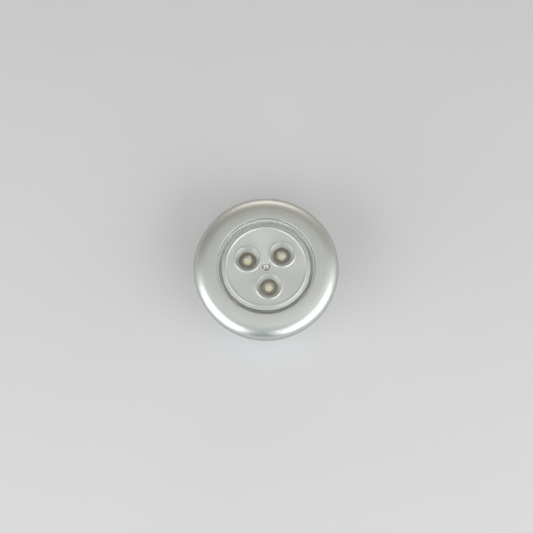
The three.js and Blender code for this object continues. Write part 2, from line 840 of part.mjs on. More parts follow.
// Switch housing with a stepped bore for the plunger, and four pins
function switchBody() {
  const half = switchSide / 2
  const shell = solidOf(block([-half, -half, boardTopZ], [half, half, switchTopZ]).rotateZ(patternTurn))
  const pins = pinPlaces().map(([x, y]) =>
    solidOf(
      block(
        [x - pinThickness / 2, y - pinThickness / 2, boardUnderZ - pinTail],
        [x + pinThickness / 2, y + pinThickness / 2, boardTopZ + weld]
      )
    )
  )
  const chamber = bar(
    plungerFootDiameter / 2 + runningGap / 2,
    boardTopZ + switchFloor,
    switchTopZ - switchRoof,
    smallSegments
  )
  const neck = bar(
    plungerDiameter / 2 + runningGap / 2,
    switchTopZ - switchRoof - weld,
    switchTopZ + cutOverrun,
    smallSegments
  )
  return geometryOf(cut(join(shell, ...pins), solidOf(chamber), solidOf(neck)))
}

// Hollow plunger with a foot under the roof of the switch
function switchPlunger() {
  const footTopZ = switchTopZ - switchRoof - runningGap
  const inner = plungerDiameter / 2 - plungerWall
  const outline = [
    [0, plungerTopZ - plungerRoof],
    [inner, plungerTopZ - plungerRoof],
    [inner, footTopZ - plungerFootHeight],
    [plungerFootDiameter / 2, footTopZ - plungerFootHeight],
    [plungerFootDiameter / 2, footTopZ],
    [plungerDiameter / 2, footTopZ],
    [plungerDiameter / 2, plungerTopZ],
    [0, plungerTopZ]
  ]
  return geometryOf(solidOf(turned(outline, smallSegments)))
}

// Return spring inside the plunger
function switchSpring() {
  const radius = (returnSpringDiameter - returnSpringWire) / 2
  const lowZ = boardTopZ + switchFloor + seatGap + returnSpringWire / 2
  const highZ = plungerTopZ - plungerRoof - seatGap - returnSpringWire / 2
  const coil = new Coil(radius, radius, lowZ, highZ, returnSpringTurns)
  return geometryOf(solidOf(coilTube(coil, returnSpringWire)))
}

// Resistor lying on the board, between two cups
function resistor() {
  const half = resistorLength / 2
  const radius = resistorDiameter / 2
  const waist = resistorWaistDiameter / 2
  const legRadius = resistorLegDiameter / 2
  const capLength = resistorLength / 4
  const outline = [
    [0, -half - resistorLegReach],
    [legRadius, -half - resistorLegReach],
    [legRadius, -half],
    [radius, -half + legRadius],
    [radius, -half + capLength],
    [waist, -half + capLength + legRadius],
    [waist, half - capLength - legRadius],
    [radius, half - capLength],
    [radius, half - legRadius],
    [legRadius, half],
    [legRadius, half + resistorLegReach],
    [0, half + resistorLegReach]
  ]
  const innerEnd = switchSide * Math.SQRT1_2 + resistorLegReach
  const [x, y] = around(innerEnd + resistorLength / 2, boardScrewAngles[0])
  const body = geometryOf(solidOf(turned(outline, smallSegments)))
  const axisZ = boardTopZ + radius + seatGap
  return body.rotateY(quarterTurn).rotateZ(boardScrewAngles[0]).translate(x, y, axisZ)
}

// Slim cell along X, with its raised end on the given side
function batteryCell(row, side) {
  const outline = [
    [0, 0],
    [cellRadius - cellShoulder, 0],
    [cellRadius, cellShoulder],
    [cellRadius, cellLength - cellNubHeight - cellShoulder],
    [cellRadius - cellShoulder, cellLength - cellNubHeight],
    [cellNubDiameter / 2, cellLength - cellNubHeight],
    [cellNubDiameter / 2, cellLength],
    [0, cellLength]
  ]
  const cell = geometryOf(solidOf(turned(outline, cellSegments)))
  return cell.rotateY(side * quarterTurn).translate(side * (cellTipX - cellLength), cellRow[row], cellAxisZ)
}

// Contact plate on an end wall, with a dimple for the raised end of a cell and a tab for a lead
function contactPlate({ side, lowY, highY, tab, dimple }) {
  const nearX = side * contactFaceX
  const farX = side * (contactFaceX + contactThickness)
  const lowX = Math.min(nearX, farX)
  const highX = Math.max(nearX, farX)
  const halfHeight = contactHeight / 2
  const pieces = [block([lowX, lowY, cellAxisZ - halfHeight], [highX, highY, cellAxisZ + halfHeight])]
  if (tab !== undefined) {
    const halfWidth = terminalTabWidth / 2
    const tipZ = deckTopZ + terminalTabRise
    pieces.push(block([lowX, tab - halfWidth, cellAxisZ], [highX, tab + halfWidth, tipZ]))
  }
  if (dimple !== undefined) {
    const bump = new THREE.CylinderGeometry(
      dimpleDiameter / 4,
      dimpleDiameter / 2,
      dimpleHeight + contactThickness / 2,
      smallSegments
    )
    const middleX = side * (contactFaceX - dimpleHeight / 2 + contactThickness / 4)
    pieces.push(bump.rotateZ(side * quarterTurn).translate(middleX, dimple, cellAxisZ))
  }
  return geometryOf(join(...pieces.map(solidOf)))
}

// Conical contact spring between a plate and the flat end of a cell
function contactSpring(row, side) {
  const wireRadius = springWire / 2
  const lowZ = seatGap + wireRadius
  const highZ = springLength - seatGap - wireRadius
  const baseRadius = (springBaseDiameter - springWire) / 2
  const tipRadius = (springTipDiameter - springWire) / 2
  const coil = new Coil(baseRadius, tipRadius, lowZ, highZ, springTurns)
  const spring = geometryOf(solidOf(coilTube(coil, springWire)))
  return spring.rotateY(-side * quarterTurn).translate(side * contactFaceX, cellRow[row], cellAxisZ)
}

// Insulated lead from a terminal tab, over the edge of the board, to its pad
function boardLead(side, tabY) {
  const radius = leadDiameter / 2
  const lowZ = deckTopZ + seatGap + radius
  const highZ = boardTopZ + 2 * seatGap + radius
  const tabX = contactFaceX - seatGap - radius
  const edge = boardDiameter / 2
  const padRadius = boardScrewCircle / 2 - boardScrewHeadDiameter / 4
  const leaving = Math.atan2(tabY, tabX)
  const arriving = leaving + Math.sign(tabY) * leadSwing
  const spots = [
    [Math.hypot(tabX, tabY), lowZ, leaving],
    [edge + 4 * leadDiameter, lowZ, leaving + Math.sign(tabY) * leadSwing / 4],
    [edge + 2 * leadDiameter, (lowZ + highZ) / 2, (leaving + arriving) / 2],
    [edge + leadDiameter / 2, highZ, arriving],
    [padRadius, highZ, arriving]
  ]
  const points = spots.map(([r, z, angle]) => {
    const [x, y] = around(r, angle)
    return new THREE.Vector3(side * x, y, z)
  })
  return geometryOf(solidOf(tube(new THREE.CatmullRomCurve3(points), radius, smallSegments)))
}

// Finishes: colour, roughness, metalness and opacity of each
const finishes = {
  silverPaint: { color: 0xb9bab7, roughness: 0.38, metalness: 0.85 },
  silverRear: { color: 0xc4c5c2, roughness: 0.45, metalness: 0.6 },
  clearPlastic: { color: 0xf2f4f5, roughness: 0.05, metalness: 0, opacity: 0.3, transparent: true },
  mirrorCoat: { color: 0xd4d5d2, roughness: 0.2, metalness: 0.9 },
  boardTan: { color: 0x958976, roughness: 0.5, metalness: 0 },
  phosphor: { color: 0xe8dc8a, roughness: 0.6, metalness: 0 },
  tinnedMetal: { color: 0xc8c9c6, roughness: 0.3, metalness: 1 },
  springSteel: { color: 0xb8babc, roughness: 0.3, metalness: 1 },
  blackPlastic: { color: 0x26282a, roughness: 0.5, metalness: 0 },
  greyPlastic: { color: 0xaeaeab, roughness: 0.4, metalness: 0 },
  coverPlastic: { color: 0xb4b5b3, roughness: 0.5, metalness: 0.3 },
  foam: { color: 0xf0efe9, roughness: 0.95, metalness: 0 },
  cellSleeve: { color: 0x3d5a73, roughness: 0.35, metalness: 0.3 },
  resistorBody: { color: 0xd9c59a, roughness: 0.5, metalness: 0 },
  redSleeve: { color: 0xb3231f, roughness: 0.45, metalness: 0 },
  blackSleeve: { color: 0x1d1d1e, roughness: 0.45, metalness: 0 }
}

const puckLight = new THREE.Group()

// Adding one named piece to a group
function add(group, name, geometry, finish) {
  const mesh = new THREE.Mesh(geometry, new THREE.MeshStandardMaterial(finishes[finish]))
  mesh.name = name
  group.add(mesh)
  return mesh
}

// Housing, its electric parts and its screws
const housing = new THREE.Group()
add(housing, 'base_shell', baseShell(), 'silverRear')
add(housing, 'front_ring', frontRing(), 'silverPaint')
housingScrewAngles.forEach((angle, i) => {
  add(housing, `housing_screw_${i + 1}`, housingScrew(angle), 'tinnedMetal')
})
cellRow.forEach((y, row) => {
  const side = row % 2 === 0 ? 1 : -1
  add(housing, `battery_cell_${row + 1}`, batteryCell(row, side), 'cellSleeve')
  add(housing, `contact_spring_${row + 1}`, contactSpring(row, -side), 'springSteel')
})
contactPlates().forEach((plate) => add(housing, plate.name, contactPlate(plate), 'tinnedMetal'))
add(housing, 'wire_red', boardLead(1, cellRow[0]), 'redSleeve')
add(housing, 'wire_black', boardLead(-1, cellRow[cellCount - 1]), 'blackSleeve')
add(housing, 'circuit_board', circuitBoard(), 'boardTan')
boardScrewAngles.forEach((angle, i) => {
  add(housing, `board_screw_${i + 1}`, boardScrew(angle), 'tinnedMetal')
})
add(housing, 'resistor', resistor(), 'resistorBody')
add(housing, 'switch_body', switchBody(), 'blackPlastic')
add(housing, 'switch_spring', switchSpring(), 'springSteel')
cupAngles.forEach((angle, i) => {
  const [x, y] = around(cupCircle / 2, angle)
  add(housing, `led_${i + 1}`, ledBody(), 'clearPlastic').position.set(x, y, 0)
  add(housing, `led_frame_${i + 1}`, ledFrame(angle), 'tinnedMetal')
  add(housing, `led_lead_${i + 1}`, ledLead(angle), 'tinnedMetal')
  add(housing, `led_chip_${i + 1}`, ledChip(angle), 'phosphor')
})
puckLight.add(housing)

// Push cap, and the plunger that it presses
const pushCap = new THREE.Group()
add(pushCap, 'lens_cover', lensCover(), 'clearPlastic')
add(pushCap, 'reflector_plate', reflectorPlate(), 'mirrorCoat')
puckLight.add(pushCap)
add(puckLight, 'switch_plunger', switchPlunger(), 'greyPlastic')

// Twist-off cover with its pad
const cover = new THREE.Group()
add(cover, 'back_cover', backCover(), 'coverPlastic')
add(cover, 'adhesive_pad', adhesivePad(), 'foam')
puckLight.add(cover)

export default puckLight
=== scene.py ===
# Stick-on touch lamp: silver ring, clear push lens over a reflector with LEDs, flared housing with
# slim cells, and a twist-off cover with an adhesive pad. Lengths are in metres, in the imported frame:
# +Z points out of the lens, +Y is up on the wall, and the origin is the middle of the adhesive face.
import math

import bpy
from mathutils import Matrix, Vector


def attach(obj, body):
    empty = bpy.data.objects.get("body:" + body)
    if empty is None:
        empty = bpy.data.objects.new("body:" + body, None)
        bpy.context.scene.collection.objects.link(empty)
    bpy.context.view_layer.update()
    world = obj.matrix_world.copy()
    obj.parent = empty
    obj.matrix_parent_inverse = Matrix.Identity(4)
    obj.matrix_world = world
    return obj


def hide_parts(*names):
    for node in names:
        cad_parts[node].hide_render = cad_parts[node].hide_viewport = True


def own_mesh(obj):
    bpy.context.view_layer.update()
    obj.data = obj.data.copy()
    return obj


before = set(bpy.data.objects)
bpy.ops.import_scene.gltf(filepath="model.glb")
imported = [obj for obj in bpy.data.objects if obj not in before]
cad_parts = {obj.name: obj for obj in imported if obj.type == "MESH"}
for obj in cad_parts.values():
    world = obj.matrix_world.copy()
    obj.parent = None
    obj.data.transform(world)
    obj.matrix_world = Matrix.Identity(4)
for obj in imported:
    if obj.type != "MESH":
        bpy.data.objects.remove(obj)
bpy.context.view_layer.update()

bl_info = {
    "name": "Puck light",
    "version": (1, 0, 0),
    "blender": (4, 5, 0),
    "location": "View3D > Sidebar > Puck light",
    "description": "Models a stick-on touch lamp with three LEDs round its packed frame",
    "category": "Add Mesh",
}

MM = 0.001
TURN = 2 * math.pi
QUARTER = TURN / 4

# sides of round pieces, from the large ones to the small ones, and steps of a rounded outline
BODY_STEPS, CUP_STEPS, CELL_STEPS, MID_STEPS, SMALL_STEPS = 144, 72, 64, 40, 32
ARC_STEPS = 18

WELD = 1e-7             # points closer than this become one
NEAR = 1e-6             # how exactly a point is found by its place
LAP = 0.02 * MM         # how far joined solids reach into each other, and a cut past a face
BEVEL = 0.05 * MM       # bevel of sheet metal, and a deeper lap
FINE = 0.12 * MM        # rounding of fine edges

SCREW_BORE, BOARD_BORE, SCREW_LENGTH = 1.25 * MM, 1.1 * MM, 8 * MM
PLATE = 4 * MM          # half the height of a contact plate
HOUSING_SCREWS = [math.radians(degrees) for degrees in (55, 125, 235, 305)]
LUGS = (QUARTER, 3 * QUARTER)


# ---------------------------------------------------------------- sizes and colours

def size(label, millimetres, words):
    """A length that the user can change, given here in millimetres."""
    return bpy.props.FloatProperty(name=label, description=words, default=millimetres * MM, min=0.0,
                                   precision=5, unit="LENGTH", subtype="DISTANCE")


def hue(label, rgb, words):
    """A colour that the user can change."""
    return bpy.props.FloatVectorProperty(name=label, description=words, default=rgb, size=3,
                                         min=0.0, max=1.0, subtype="COLOR")


def angle(label, degrees, words):
    """An angle that the user can change, given here in degrees."""
    return bpy.props.FloatProperty(name=label, description=words, default=math.radians(degrees),
                                   unit="ROTATION", subtype="ANGLE")


class RingSettings(bpy.types.PropertyGroup):
    """Sizes and colour of the front ring."""
    opening: size("Opening", 22.7, "Radius of the round opening")
    flat: size("Flat face", 26.8, "Radius at which the flat face turns into the shoulder")
    outer: size("Outer", 33.8, "Outer radius")
    top: size("Face height", 24.4, "Height of the flat face")
    foot: size("Foot height", 17.2, "Height of the lower edge")
    drop: size("Shoulder drop", 6.0, "Height of the rounded shoulder")
    wall: size("Wall", 1.6, "Wall thickness")
    lip: size("Lip", 2.5, "Depth of the lip round the opening")
    lip_width: size("Lip width", 2.3, "Width of the lip round the opening")
    fall: size("Fall", 0.25, "How much the face falls from the opening to the shoulder")
    edge: size("Edge", 0.3, "Rounding of the opening's edge")
    colour: hue("Paint", (0.60, 0.628, 0.595), "Colour of the silver paint")


class LensSettings(bpy.types.PropertyGroup):
    """Sizes of the clear push lens."""
    outer: size("Outer", 21.9, "Radius of the lens in the opening")
    flat: size("Flat", 18.8, "Radius at which the crown turns into the shoulder")
    drop: size("Shoulder drop", 2.5, "Height of the rounded shoulder")
    bead: size("Bead", 0.16, "Radius of the fine bead on the shoulder")
    bead_at: angle("Bead place", 33.0, "Place of the bead on the arc of the shoulder")
    crown: size("Crown", 0.19, "Rise of the middle over the edge of the crown")
    wall: size("Wall", 1.4, "Thickness of the face")
    skirt: size("Skirt", 1.2, "Thickness of the skirt")
    flange: size("Flange", 24.1, "Radius of the holding flange")
    flange_top: size("Flange height", 21.6, "Height of the flange's upper face")
    flange_thick: size("Flange thickness", 1.0, "Thickness of the flange")
    post: size("Post", 1.45, "Radius of the centre post")
    post_foot: size("Post foot", 21.3, "Height of the post's lower end")
    post_hollow: size("Post hollow", 0.3, "Radius of the blind hole in the post")
    web: size("Web", 0.5, "Width of the post's gussets")
    gusset: size("Gusset", 2.3, "Reach of the gussets above the plate")
    gusset_foot: size("Gusset foot", 22.35, "Height of the gussets' lower edges")


class ReflectorSettings(bpy.types.PropertyGroup):
    """Sizes and colour of the reflector plate."""
    outer: size("Outer", 20.4, "Radius of the plate")
    rim: size("Rim", 23.8, "Radius of the rim under the lens flange")
    rim_top: size("Rim height", 20.5, "Height of the rim's upper side")
    rim_thick: size("Rim thickness", 0.7, "Thickness of the rim")
    under: size("Underside", 21.2, "Height of the plate's underside")
    face: size("Face", 22.2, "Height of the plate's upper face")
    circle: size("Cup circle", 9.3, "Distance of the cups from the middle")
    first: angle("First cup", 38.0, "Direction of the first cup")
    mouth: size("Mouth", 5.6, "Radius of a cup's mouth inside its lip")
    lip: size("Lip width", 0.6, "Width of the raised lip")
    rise: size("Lip rise", 0.5, "Height of the raised lip")
    edge_lip: size("Edge lip", 18.75, "Radius of the raised lip round the plate's face")
    edge_wide: size("Edge lip half width", 0.65, "Half the width of the lip round the plate's face")
    edge_rise: size("Edge lip rise", 0.42, "Height of the lip round the plate's face")
    bore: size("Bore", 4.1, "Radius at the foot of the cone")
    cone: size("Cone depth", 2.0, "Depth of the cone")
    depth: size("Cup depth", 3.8, "Depth of the cup below the face")
    wall: size("Wall", 0.8, "Wall of the cup")
    post_hole: size("Post hole", 1.8, "Radius of the hole for the lens post")
    colour: hue("Metal coat", (0.65, 0.675, 0.645), "Colour of the metallised surface")
    bare: hue("Bare plastic", (0.60, 0.60, 0.58), "Colour of the plastic where it isn't metallised")


class LedSettings(bpy.types.PropertyGroup):
    """Sizes and colours of the LEDs."""
    radius: size("Radius", 2.5, "Radius of the epoxy body")
    flange: size("Flange", 2.9, "Radius of the flange")
    flange_high: size("Flange height", 0.9, "Height of the flange")
    foot: size("Foot", 16.4, "Height of the LED's lower face")
    tip: size("Tip", 21.2, "Height of the tip")
    dome: size("Dome", 2.3, "Height of the domed tip")
    pitch: size("Lead pitch", 2.54, "Distance between the leads")
    lead: size("Lead", 0.5, "Width of a lead")
    tail: size("Lead end", 14.9, "Height of the leads' lower ends")
    cup: size("Die cup", 1.0, "Radius of the cup that holds the die")
    cup_foot: size("Die cup foot", 17.0, "Height of the die cup's lower face")
    cup_top: size("Die cup top", 17.7, "Height of the die cup's upper edge")
    phosphor: hue("Phosphor", (0.97, 0.80, 0.30), "Colour of the phosphor drop")


class HousingSettings(bpy.types.PropertyGroup):
    """Sizes and colour of the rear housing."""
    back: size("Back", 0.8, "Height of the rear edge")
    mouth: size("Mouth", 28.0, "Radius of the round mouth for the cover")
    back_radius: size("Back radius", 29.9, "Outer radius at the rear edge")
    shoulder: size("Shoulder radius", 33.4, "Outer radius under the rim")
    rim: size("Rim radius", 33.99, "Outer radius of the rim")
    rim_thick: size("Rim", 0.6, "Thickness of the rim")
    top: size("Top", 16.9, "Height of the rim's upper face")
    lip: size("Lip", 3.9, "Height of the upper side of the bayonet lip")
    wall: size("Wall", 1.2, "Wall thickness")
    spigot: size("Spigot", 31.8, "Radius of the spigot inside the ring")
    spigot_top: size("Spigot top", 18.1, "Height of the spigot's edge")
    inner: size("Inner", 30.8, "Radius inside the spigot")
    deck_under: size("Deck underside", 13.4, "Height of the deck's underside")
    deck: size("Deck", 14.4, "Height of the deck's upper side")
    bay_length: size("Bay half length", 24.65, "Half the length of the battery bay")
    bay_width: size("Bay half width", 16.35, "Half the width of the battery bay")
    bay_wall: size("Bay wall", 1.0, "Wall of the battery bay")
    screw_circle: size("Screw circle", 26.8, "Distance of the housing screws from the middle")
    screw_seat: size("Screw seat", 11.4, "Height on which the screw heads sit")
    colour: hue("Colour", (0.66, 0.67, 0.66), "Colour of the housing")


class CoverSettings(bpy.types.PropertyGroup):
    """Sizes and colours of the back cover and the adhesive pad."""
    back: size("Back", 0.6, "Height of the cover's rear face")
    inside: size("Inside", 2.2, "Height of the cover's inner face")
    radius: size("Radius", 27.6, "Radius of the cover")
    lug: size("Lug radius", 28.7, "Radius of the bayonet lugs")
    lug_under: size("Lug underside", 4.2, "Height of a lug's underside")
    lug_top: size("Lug top", 5.4, "Height of a lug's upper side")
    lug_span: angle("Lug span", 24.0, "Width of a lug")
    notch_span: angle("Notch span", 28.0, "Width of a notch")
    twist: angle("Twist", 30.0, "Turn from locked to open")
    pad: size("Pad radius", 22.0, "Radius of the adhesive pad")
    pad_thick: size("Pad thickness", 1.0, "Thickness of the adhesive pad")
    play: size("Play", 0.3, "Gap round the pad and in the notches")
    colour: hue("Cover", (0.47, 0.475, 0.47), "Colour of the cover")
    foam: hue("Foam", (0.82, 0.81, 0.78), "Colour of the foam pad")


class PowerSettings(bpy.types.PropertyGroup):
    """Sizes and colours of the cells, contacts, board, resistor and leads."""
    cell: size("Cell radius", 5.25, "Radius of a slim cell")
    cell_length: size("Cell length", 44.5, "Length of a slim cell with its raised end")
    cell_axis: size("Cell height", 7.85, "Height of the cells' axes")
    cell_tip: size("Cell tip", 23.45, "How far a raised end reaches along the bay")
    pitch: size("Cell pitch", 10.8, "Distance between the cells' axes")
    contact: size("Contact face", 24.15, "How far out the contact plates' faces stand")
    sheet: size("Contact sheet", 0.4, "Thickness of the contact plates")
    spring: size("Spring length", 3.1, "Length of a contact spring")
    board: size("Board radius", 19.0, "Radius of the circuit board")
    board_under: size("Board underside", 15.4, "Height of the board's underside")
    board_top: size("Board top", 16.4, "Height of the board's upper side")
    board_screws: size("Board screws", 16.8, "Distance of the board's screws from the middle")
    lead: size("Lead radius", 0.6, "Radius of an insulated lead")
    sleeve: hue("Cell sleeve", (0.035, 0.085, 0.16), "Colour of the cells' sleeve")
    band: hue("Cell band", (0.66, 0.50, 0.26), "Colour of the band at a cell's raised end")
    mask: hue("Board", (0.42, 0.38, 0.29), "Colour of the circuit board")


class SwitchSettings(bpy.types.PropertyGroup):
    """Sizes of the switch under the lens post."""
    side: size("Side", 5.2, "Width of the switch")
    top: size("Top", 19.5, "Height of the switch's roof")
    turn: angle("Turn", 8.0, "Turn of the switch about the axis")
    chamber: size("Chamber", 1.95, "Radius of the chamber")
    neck: size("Neck", 1.55, "Radius of the hole in the roof")
    roof: size("Roof", 0.5, "Thickness of the roof")
    floor: size("Floor", 0.3, "Thickness of the floor")
    plunger: size("Plunger", 1.4, "Radius of the plunger")
    plunger_top: size("Plunger top", 21.2, "Height of the plunger's end")
    foot: size("Plunger foot", 1.8, "Radius of the plunger's foot")
    wire: size("Spring wire", 0.1, "Radius of the return spring's wire")


class StageSettings(bpy.types.PropertyGroup):
    """The camera, the floor and the light."""
    elevation: angle("Camera elevation", 76.5, "Height of the camera above the horizon")
    distance: size("Camera distance", 450.0, "Distance of the camera from the lamp")
    width: size("View width", 245.0, "Width that the view takes in at the lamp")
    floor: hue("Floor", (0.60, 0.60, 0.605), "Colour of the floor")


class PuckSettings(bpy.types.PropertyGroup):
    """Everything that a user would change on the lamp."""
    ring: bpy.props.PointerProperty(type=RingSettings)
    lens: bpy.props.PointerProperty(type=LensSettings)
    reflector: bpy.props.PointerProperty(type=ReflectorSettings)
    led: bpy.props.PointerProperty(type=LedSettings)
    housing: bpy.props.PointerProperty(type=HousingSettings)
    cover: bpy.props.PointerProperty(type=CoverSettings)
    power: bpy.props.PointerProperty(type=PowerSettings)
    switch: bpy.props.PointerProperty(type=SwitchSettings)
    stage: bpy.props.PointerProperty(type=StageSettings)


def settings():
    """The settings of this scene."""
    return bpy.context.scene.puck_light


# ---------------------------------------------------------------- modelling

def release():
    """Leave edit mode and select nothing."""
    if bpy.context.object and bpy.context.object.mode != "OBJECT":
        bpy.ops.object.mode_set(mode="OBJECT")
    bpy.ops.object.select_all(action="DESELECT")


def take(piece):
    """Select one piece alone and make it active."""
    release()
    piece.select_set(True)
    bpy.context.view_layer.objects.active = piece


def settled(piece, move=(0, 0, 0), turn=(0, 0, 0)):
    """Move and turn a piece, and put its place in its mesh."""
    take(piece)
    piece.location = Vector(piece.location) + Vector(move)
    piece.rotation_euler = turn
    bpy.ops.object.transform_apply(location=True, rotation=True, scale=True)
    return piece


def named(name):
    """The active piece, after giving it and its mesh a name."""
    piece = bpy.context.object
    piece.name = piece.data.name = name
    return piece


def opened():
    """Go into edit mode and select all of the active piece."""
    bpy.ops.object.mode_set(mode="EDIT")
    bpy.ops.mesh.select_all(action="SELECT")


def outward():
    """Weld the mesh in edit mode and point its faces outwards."""
    bpy.ops.mesh.select_all(action="SELECT")
    bpy.ops.mesh.remove_doubles(threshold=WELD)
    bpy.ops.mesh.normals_make_consistent(inside=False)
    bpy.ops.object.mode_set(mode="OBJECT")


def around(radius, direction):
    """The point at a distance from the axis in a direction."""
    return (radius * math.cos(direction), radius * math.sin(direction))


def spread(count, first):
    """Directions of things spread evenly round the axis."""
    return [first + i * TURN / count for i in range(count)]


def arc(centre_r, centre_z, wide, high, first, last, steps=ARC_STEPS):
    """Part of an ellipse, as points of an outline."""
    angles = [first + (last - first) * i / steps for i in range(steps + 1)]
    return [(centre_r + wide * math.cos(a), centre_z + high * math.sin(a)) for a in angles]


def softened(outline, reach, steps=4):
    """Round the corners of a closed outline, and leave its curves and its points on the axis."""
    smooth, most = math.radians(28), 0.42
    count, done = len(outline), []
    for i, point in enumerate(outline):
        corner = Vector(point)
        back, on = Vector(outline[i - 1]) - corner, Vector(outline[(i + 1) % count]) - corner
        if point[0] == 0.0 or (-back).angle(on, 0.0) < smooth:
            done.append(tuple(point))
            continue
        held = min(reach, most * back.length, most * on.length)
        first, last = corner + back.normalized() * held, corner + on.normalized() * held
        for k in range(steps + 1):
            t = k / steps
            spot = first * (1 - t) ** 2 + corner * 2 * t * (1 - t) + last * t ** 2
            done.append((spot.x, spot.y))
    return done


def drawn(points, radius, height):
    """Draw the selected ring out through the points of an outline."""
    for new_radius, new_height in points:
        bpy.ops.mesh.extrude_region_move(
            TRANSFORM_OT_translate={"value": (0, 0, new_height - height)})
        if new_radius == 0.0:
            bpy.ops.mesh.merge(type="CENTER")
            return
        grown = new_radius / radius
        bpy.ops.transform.resize(value=(grown, grown, 1), center_override=(0, 0, new_height))
        radius, height = new_radius, new_height


def turned(name, outline, steps=BODY_STEPS):
    """A turned solid: a ring drawn out along a closed outline of radius and height."""
    release()
    poles = [i for i, point in enumerate(outline) if point[0] == 0.0]
    if poles:
        # a solid with poles: the outline runs from one point on the axis to the other
        shift = next(i for i in poles if outline[(i + 1) % len(outline)][0] != 0.0)
        outline = outline[shift:] + outline[:shift]
        first, (radius, height), rest = outline[0], outline[1], outline[2:]
    else:
        (radius, height), rest = outline[0], outline[1:] + outline[:1]
    bpy.ops.mesh.primitive_circle_add(vertices=steps, radius=radius, location=(0, 0, height))
    piece = settled(named(name))
    opened()
    drawn(rest, radius, height)
    if poles:
        bpy.ops.object.mode_set(mode="OBJECT")
        for vertex in piece.data.vertices:
            far = math.hypot(vertex.co.x, vertex.co.y)
            vertex.select = abs(far - radius) < NEAR and abs(vertex.co.z - height) < NEAR
        for edge in piece.data.edges:
            edge.select = all(piece.data.vertices[k].select for k in edge.vertices)
        for face in piece.data.polygons:
            face.select = False
        bpy.ops.object.mode_set(mode="EDIT")
        drawn([first], radius, height)
    outward()
    return piece


def bar(name, radius, low, high, steps=SMALL_STEPS, edge=0.0):
    """A round bar along Z, with its edges rounded where asked."""
    outline = [(0.0, low), (radius, low), (radius, high), (0.0, high)]
    return turned(name, softened(outline, edge) if edge else outline, steps)


def slab(name, low, high, edge=0.0):
    """A block between two corners, with its edges bevelled where asked."""
    release()
    low, high = Vector(low), Vector(high)
    bpy.ops.mesh.primitive_cube_add(size=1, location=(low + high) / 2, scale=high - low)
    piece = settled(named(name))
    if edge:
        opened()
        bpy.ops.mesh.bevel(offset=edge, segments=3, affect="EDGES")
        outward()
    return piece


def sector(name, inner, outer, low, high, span):
    """A piece of a ring wall, spun from a flat section about the axis and centred on +X."""
    release()
    steps = max(2, round(BODY_STEPS * span / TURN))
    place = ((inner + outer) / 2, 0, (low + high) / 2)
    bpy.ops.mesh.primitive_plane_add(size=1, location=place, rotation=(QUARTER, 0, 0))
    piece = named(name)
    piece.scale = (outer - inner, high - low, 1)
    bpy.ops.object.transform_apply(location=True, rotation=True, scale=True)
    opened()
    bpy.ops.mesh.spin(steps=steps, angle=span, center=(0, 0, 0), axis=(0, 0, 1))
    outward()
    return settled(piece, turn=(0, 0, span / 2))


def tube(name, points, radius, sides=3):
    """A round section drawn out along a smooth path, with its ends closed."""
    release()
    path = bpy.data.curves.new(name, "CURVE")
    path.dimensions = "3D"
    path.bevel_depth, path.bevel_resolution = radius, sides
    path.use_fill_caps = True
    spline = path.splines.new("POLY")
    spline.points.add(len(points) - 1)
    for point, place in zip(spline.points, points):
        point.co = (*place, 1.0)
    piece = bpy.data.objects.new(name, path)
    bpy.context.collection.objects.link(piece)
    take(piece)
    bpy.ops.object.convert(target="MESH")
    piece = bpy.context.object
    bpy.ops.object.mode_set(mode="EDIT")
    outward()
    return piece


def smooth_path(points, steps):
    """A Catmull-Rom path through points."""
    spots = [Vector(p) for p in points]
    spots = [2 * spots[0] - spots[1], *spots, 2 * spots[-1] - spots[-2]]
    path = []
    for a, b, c, d in zip(spots, spots[1:], spots[2:], spots[3:]):
        for k in range(steps):
            t = k / steps
            path.append(0.5 * (2 * b + (c - a) * t + (2 * a - 5 * b + 4 * c - d) * t * t
                               + (3 * b - a - 3 * c + d) * t ** 3))
    return [*path, spots[-2]]


def coil(name, first_radius, last_radius, low, high, turns, wire, steps=28):
    """A coil about Z, whose first and last half turns lie almost flat."""
    count, flat, steep = round(turns * steps), 0.4 / turns, 0.86
    points = []
    for i in range(count + 1):
        t = i / count
        rise = steep * min(max((t - flat) / (1 - 2 * flat), 0.0), 1.0) + (1 - steep) * t
        radius = first_radius + (last_radius - first_radius) * t
        points.append((*around(radius, t * turns * TURN), low + (high - low) * rise))
    return tube(name, points, wire)


def fitted(piece, tools, work):
    """Join tools to a piece, cut them out of it or keep what they share, and delete them."""
    for tool in tools:
        take(piece)
        change = piece.modifiers.new(work, "BOOLEAN")
        change.operation, change.solver, change.object = work, "MANIFOLD", tool
        bpy.ops.object.modifier_apply(modifier=change.name)
        bpy.data.objects.remove(tool, do_unlink=True)
    if not piece.data.polygons:
        raise RuntimeError(f"{piece.name}: nothing is left after {work}")
    piece.data.materials.clear()
    return piece


def joined(piece, *tools):
    """Join tools to a piece."""
    return fitted(piece, tools, "UNION")


def carved(piece, *tools):
    """Cut tools out of a piece."""
    return fitted(piece, tools, "DIFFERENCE")


def copied(piece, name):
    """A copy of a piece with its own mesh."""
    take(piece)
    bpy.ops.object.duplicate(linked=False)
    return named(name)


def at(spots):
    """Moves to places round the axis."""
    return [((*spot, 0), (0, 0, 0)) for spot in spots]


def fanned(directions):
    """Turns about the axis."""
    return [((0, 0, 0), (0, 0, direction)) for direction in directions]


def repeated(pattern, places):
    """Copies of a piece, each with its move and its turn, in place of the piece itself."""
    copies = [settled(copied(pattern, pattern.name), move, turn) for move, turn in places]
    bpy.data.objects.remove(pattern, do_unlink=True)
    return copies


def finished(piece, body, material, slot, *nodes, crease=32):
    """Shade a piece, give it its material, attach it to its body and hide the nodes that it stands for."""
    take(piece)
    bpy.ops.object.shade_smooth_by_angle(angle=math.radians(crease))
    if not piece.data.materials:
        piece.data.materials.append(material)
    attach(piece, body)
    if nodes:
        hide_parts(*nodes)


